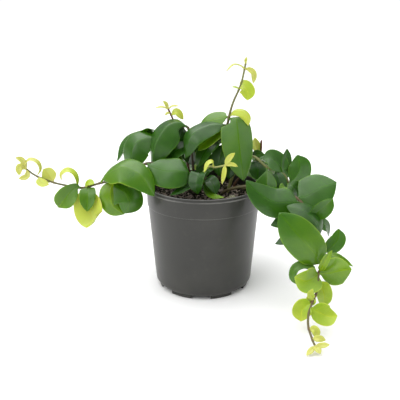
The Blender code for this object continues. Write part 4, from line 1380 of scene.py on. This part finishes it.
@dataclass(frozen=True)
class SoilBed:
    """The soil in the pot, with crumbs, flakes, fibres and bark chips on it, in millimetres.

    Args:
        pot: the pot that it fills.
        edge_z: its height at the wall.
        mound: how much higher the middle is.
        rough: the height of its bumps.
        gap: how far it keeps off the pot.
        clod_height, clod_scale: how high the fine clods are, and how many there are in a millimetre.
        clod_layers: their fractal's roughness, its step in scale and its number of layers.
        sharp: the angle past which an edge looks sharp, in degrees.
        clear: how far from the wall the middles of bits stay.
        chip_size, chip_count, chip_tint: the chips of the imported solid.
        chip_reach: how near to the axis and how far from it they lie.
        chips: extra chips as (x, y, size, tint).
    """

    pot: NurseryPot
    edge_z: float = 99.0
    mound: float = 5.0
    rough: float = 1.2
    gap: float = 0.3
    rings: int = 64
    steps: int = 168
    clod_height: float = 0.7
    clod_scale: float = 0.22
    clod_layers: Point = (0.8, 2.2, 4)
    sharp: float = 60.0
    clear: float = 2.5
    chip_size: Point = (9.0, 6.0, 3.2)
    chip_count: int = 9
    chip_reach: Span = (12.0, 50.0)
    chip_tint: float = 0.3
    chips: tuple[tuple[float, float, Point, float], ...] = (
        (29.0, -29.0, (7.5, 5.5, 6.0), 0.84),
        (38.0, -24.0, (6.0, 4.5, 4.0), 0.68),
        (23.0, 3.0, (5.0, 4.0, 3.5), 0.50),
        (44.0, 8.0, (5.5, 4.0, 3.5), 0.62),
    )

    # The seeds of the random draws, how far a bit's and a chip's size may be from the mean, and how far
    # from level they lie, in radians.
    BIT_SEED = 21
    CHIP_SEED = 7
    BIT_SIZES = (0.55, 1.3)
    CHIP_SIZES = (0.7, 1.15)
    TILT = 0.5
    # How high a lump's middle lies: a share of a bit's least side, then millimetres for the chips.
    BIT_LIFT = 0.3
    CHIP_LIFT = 0.4
    EXTRA_LIFT = 1.0
    # How uneven a lump is, and how many bumps it has in a millimetre.
    SWELL = 0.45
    SWELL_SCALE = 0.9
    # A chip: how finely it is divided, how blocky it is, how the extra ones lie, and how far it lies from
    # a stem's foot, as a share of its length and in millimetres more.
    CHIP_DETAIL = 4
    CHIP_SQUARE = 0.35
    EXTRA_TILT = (0.2, -0.15, 0.5)
    CHIP_ROOM = (0.6, 2.0)

    def height(self, x: float, y: float) -> float:
        """The height of the packed soil's surface at this place.

        Args:
            x: how far to the right it is of the axis.
            y: how far it is behind the axis.

        Returns:
            The height above the pot's foot.
        """
        reach = min(1.0, math.hypot(x, y) / (self.pot.bead_radius - self.pot.wall))
        bumps = math.sin(x * 0.31 + 1.3) * math.cos(y * 0.27) + 0.6 * math.sin(x * 0.73 - y * 0.58)
        return self.edge_z + self.mound * (1 - reach**2) + self.rough * bumps * (1 - reach**6)

    def build(self, axis: Vector) -> bpy.types.Object:
        """Makes the soil's body, with a finely crumbled surface.

        Args:
            axis: where the pot's axis stands, in metres.

        Returns:
            The soil.
        """
        sides = self.pot.inside(self.gap)
        rim = sides[-1][0]
        top = [(rim * i / self.rings, self.edge_z) for i in range(self.rings + 1)]
        bed = turn_section(top + sides[::-1], self.steps)
        for vertex in bed.mesh.verts:
            if vertex.co.z > (self.edge_z - 1) * MM:
                x, y = vertex.co.x / MM, vertex.co.y / MM
                clods = noise.multi_fractal(Vector((x, y, 0)) * self.clod_scale, *self.clod_layers) - 1
                inner = 1 - (math.hypot(x, y) / rim) ** 8
                vertex.co.z = (self.height(x, y) + self.clod_height * clods * inner) * MM
        piece = bed.finish("soil_bed", PEAT, axis)
        piece.data.set_sharp_from_angle(angle=math.radians(self.sharp))
        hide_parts("soil")
        return piece

    @staticmethod
    def spot(draw: random.Random, near: float, far: float) -> Span:
        """A random place between two distances from the axis, as likely at each part of the surface.

        Args:
            draw: the seeded random source.
            near: the least distance.
            far: the greatest.

        Returns:
            The place as (x, y).
        """
        away = far * math.sqrt(draw.uniform((near / far) ** 2, 1))
        around = draw.uniform(0, math.tau)
        return away * math.cos(around), away * math.sin(around)

    def tilt(self, draw: random.Random) -> Euler:
        """A random turn, never far from level."""
        sides = [draw.uniform(-self.TILT, self.TILT) for _ in range(2)]
        return Euler((*sides, draw.uniform(0, math.tau)))

    def scatter(self, axis: Vector) -> bpy.types.Object:
        """Scatters crumbs, flakes, fibres and grains on the soil, each with its own tint.

        Args:
            axis: where the pot's axis stands, in metres.

        Returns:
            All of them as one piece.
        """
        draw = random.Random(self.BIT_SEED)
        heap = Shaper("tint")
        reach = self.pot.bead_radius - self.pot.wall - self.clear
        for kind in Bit:
            for _ in range(kind.count):
                x, y = self.spot(draw, 0, reach)
                size = [side * draw.uniform(*self.BIT_SIZES) for side in kind.size]
                tilt = self.tilt(draw)
                made = self.lump(heap, (x, y, self.height(x, y) + self.BIT_LIFT * min(size)), size, tilt)
                heap.mark(made, tint=draw.uniform(*kind.tints))
        return heap.finish("soil_crumbs", BITS, axis, smooth=False)

    def lump(
        self,
        heap: Shaper,
        place: Point,
        size: Iterable[float],
        tilt: Euler,
        detail: int = 1,
        square: float = 0.8,
    ) -> list[bmesh.types.BMVert]:
        """Adds an uneven lump.

        Args:
            heap: what it is added to.
            place: its middle, in millimetres.
            size: its sides before it is turned.
            tilt: how it is turned.
            detail: how finely it is divided.
            square: 1 leaves it an ellipsoid, and less makes it blockier.

        Returns:
            Its points.
        """
        stand = Matrix.Translation(place) @ tilt.to_matrix().to_4x4()
        half = Vector(tuple(size)) / 2
        made = bmesh.ops.create_icosphere(heap.mesh, subdivisions=detail, radius=1)["verts"]
        for vertex in made:
            blocky = Vector([math.copysign(abs(part) ** square, part) for part in vertex.co])
            swell = 1 + self.SWELL * noise.noise((stand @ (blocky * half)) * self.SWELL_SCALE)
            vertex.co = (stand @ (blocky * half * swell)) * MM
        return made

    @staticmethod
    def beside(spot: Vector, feet: Iterable[Vector], room: float) -> Vector:
        """Moves a spot straight away from each foot that is too near.

        Args:
            spot: where it is.
            feet: where the feet are.
            room: how far from a foot it has to be.

        Returns:
            Where it goes.
        """
        for foot in feet:
            away = spot - foot
            if away.length < room:
                spot = foot + away.normalized() * room
        return spot

    def bark(self, axis: Vector, feet: list[Vector]) -> bpy.types.Object:
        """Lays the bark chips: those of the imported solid, and the extra ones.

        Args:
            axis: where the pot's axis stands, in metres.
            feet: where the stems stand in the soil, in millimetres. A chip lies beside them.

        Returns:
            All of them as one piece.
        """
        draw = random.Random(self.CHIP_SEED)
        heap = Shaper("tint")
        laid = []
        for _ in range(self.chip_count):
            spot = Vector(self.spot(draw, *self.chip_reach))
            size = [side * draw.uniform(*self.CHIP_SIZES) for side in self.chip_size]
            x, y = self.beside(spot, feet, self.CHIP_ROOM[0] * size[0] + self.CHIP_ROOM[1])
            laid.append((x, y, self.CHIP_LIFT, size, self.tilt(draw), self.chip_tint))
        tilt = Euler(self.EXTRA_TILT)
        laid += [(x, y, self.EXTRA_LIFT, size, tilt, tint) for x, y, size, tint in self.chips]
        for x, y, lift, size, tilt, tint in laid:
            place = (x, y, self.height(x, y) + lift)
            made = self.lump(heap, place, size, tilt, self.CHIP_DETAIL, self.CHIP_SQUARE)
            heap.mark(made, tint=tint)
        return heap.finish("bark_chips", BITS, axis, smooth=False)


@dataclass(frozen=True)
class Studio:
    """White floor, soft light and the camera, in metres.

    Args:
        horizon: the strength of the light from the front, level with the plant.
        zenith: how much stronger it is from overhead.
        overhead: how high that starts and is full, with 0 level and 1 straight up.
        left: how much the left counts as overhead, and the right does not.
        backdrop: how bright the backdrop looks.
        floor_radius: how far the floor reaches.
        floor_albedo: how much light the floor throws back.
        floor_glow: a little light of its own, which thins the shadow on it.
        aim_height: the height that the lamps look at.
        softboxes: square lamps as (name, place from there, side, power in watts).
        eye: the camera's place from the pot's axis.
        pitch: its tilt from straight down, in degrees.
        lens: its focal length in millimetres, and sensor the width that it is for.
        shift: its sideways shift.
    """

    horizon: float = 0.30
    zenith: float = 1.95
    overhead: Span = (0.42, 1.0)
    left: float = 0.20
    backdrop: float = 1.05
    floor_radius: float = 8.0
    floor_albedo: float = 0.93
    floor_glow: float = 0.03
    aim_height: float = 0.12
    softboxes: tuple[tuple[str, Point, float, float], ...] = (
        ("overhead_softbox", (-0.10, 0.50, 1.15), 1.3, 6.0),
        ("left_softbox", (-1.00, -0.75, 0.62), 0.9, 5.0),
        ("right_softbox", (1.25, -0.25, 0.55), 0.8, 2.5),
    )
    eye: Point = (0.0, -0.550, 0.269)
    pitch: float = 72.2
    lens: float = 48.6
    sensor: float = 36.0
    shift: float = -0.00875

    def build(self, axis: Vector) -> None:
        """Sets the floor, the world, the lamps and the camera.

        Args:
            axis: where the pot's axis stands.
        """
        self.lay_floor()
        self.light_world()
        self.hang_softboxes(axis + Vector((0, 0, self.aim_height)))
        self.set_camera(axis)
        bpy.context.scene.view_settings.view_transform = "Standard"

    def lay_floor(self) -> None:
        """Lays a wide white floor, level with the pot's foot."""
        disc = bmesh.new()
        bmesh.ops.create_circle(disc, cap_ends=True, segments=96, radius=self.floor_radius)
        floor = put_object("studio_floor", disc)
        paper = bpy.data.materials.new("white_floor")
        paper.use_nodes = True
        board = Board(paper.node_tree)
        white = (*(self.floor_albedo,) * 3, 1)
        coat = board.add("ShaderNodeBsdfDiffuse", {}, {"Color": white})
        glow = board.add("ShaderNodeEmission", {}, {"Color": white, "Strength": self.floor_glow})
        both = board.add("ShaderNodeAddShader", {}, {0: coat.outputs[0], 1: glow.outputs[0]})
        board.add("ShaderNodeOutputMaterial", {}, {"Surface": both.outputs[0]})
        floor.data.materials.append(paper)

    def light_world(self) -> None:
        """Sets light from all round, with a backdrop that looks white to the camera."""
        world = bpy.data.worlds.new("studio_world")
        world.use_nodes = True
        board = Board(world.node_tree)
        seen = Signal(board, board.add("ShaderNodeLightPath").outputs["Is Camera Ray"])
        way = board.add("ShaderNodeTexCoord").outputs["Generated"]
        parts = board.add("ShaderNodeSeparateXYZ", {}, {0: way})
        right, up = (Signal(board, parts.outputs[side]) for side in "XZ")
        glow = self.horizon + (up - right * self.left).between(*self.overhead) * self.zenith
        strength = glow + seen * (self.backdrop - glow)
        sky = board.add("ShaderNodeBackground", {}, {"Color": (1, 1, 1, 1), "Strength": strength})
        board.add("ShaderNodeOutputWorld", {}, {"Surface": sky.outputs[0]})
        bpy.context.scene.world = world

    def hang_softboxes(self, target: Vector) -> None:
        """Adds the square soft lamps, which all look at the plant.

        Args:
            target: what they look at.
        """
        for name, place, side, power in self.softboxes:
            lamp = bpy.data.lights.new(name, "AREA")
            lamp.shape = "SQUARE"
            lamp.size = side
            lamp.energy = power
            softbox = bpy.data.objects.new(name, lamp)
            softbox.location = target + Vector(place)
            softbox.rotation_euler = (-Vector(place)).to_track_quat("-Z", "Y").to_euler()
            bpy.context.scene.collection.objects.link(softbox)

    def set_camera(self, axis: Vector) -> None:
        """Adds the camera and looks through it.

        Args:
            axis: where the pot's axis stands.
        """
        lens = bpy.data.cameras.new("photo_camera")
        lens.lens = self.lens
        lens.sensor_width = self.sensor
        lens.shift_x = self.shift
        lens.clip_start = 0.01
        camera = bpy.data.objects.new("photo_camera", lens)
        camera.location = axis + Vector(self.eye)
        camera.rotation_euler = (math.radians(self.pitch), 0, 0)
        bpy.context.scene.collection.objects.link(camera)
        bpy.context.scene.camera = camera


def main() -> None:
    """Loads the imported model, dresses each node and sets the studio."""
    logging.basicConfig(level=logging.INFO, format="%(message)s")
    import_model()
    low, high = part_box("pot")
    axis = Vector(((low.x + high.x) / 2, (low.y + high.y) / 2, 0))
    Studio().build(axis)
    pot = NurseryPot()
    pot.build(axis)
    soil = SoilBed(pot)
    soil.build(axis)
    soil.scatter(axis)
    soil.bark(axis, [Vector(stem.path[1][:2]) for stem in STEMS.values()])
    for name, stem in STEMS.items():
        stem.build(name, axis)


if __name__ == "__main__":
    main()
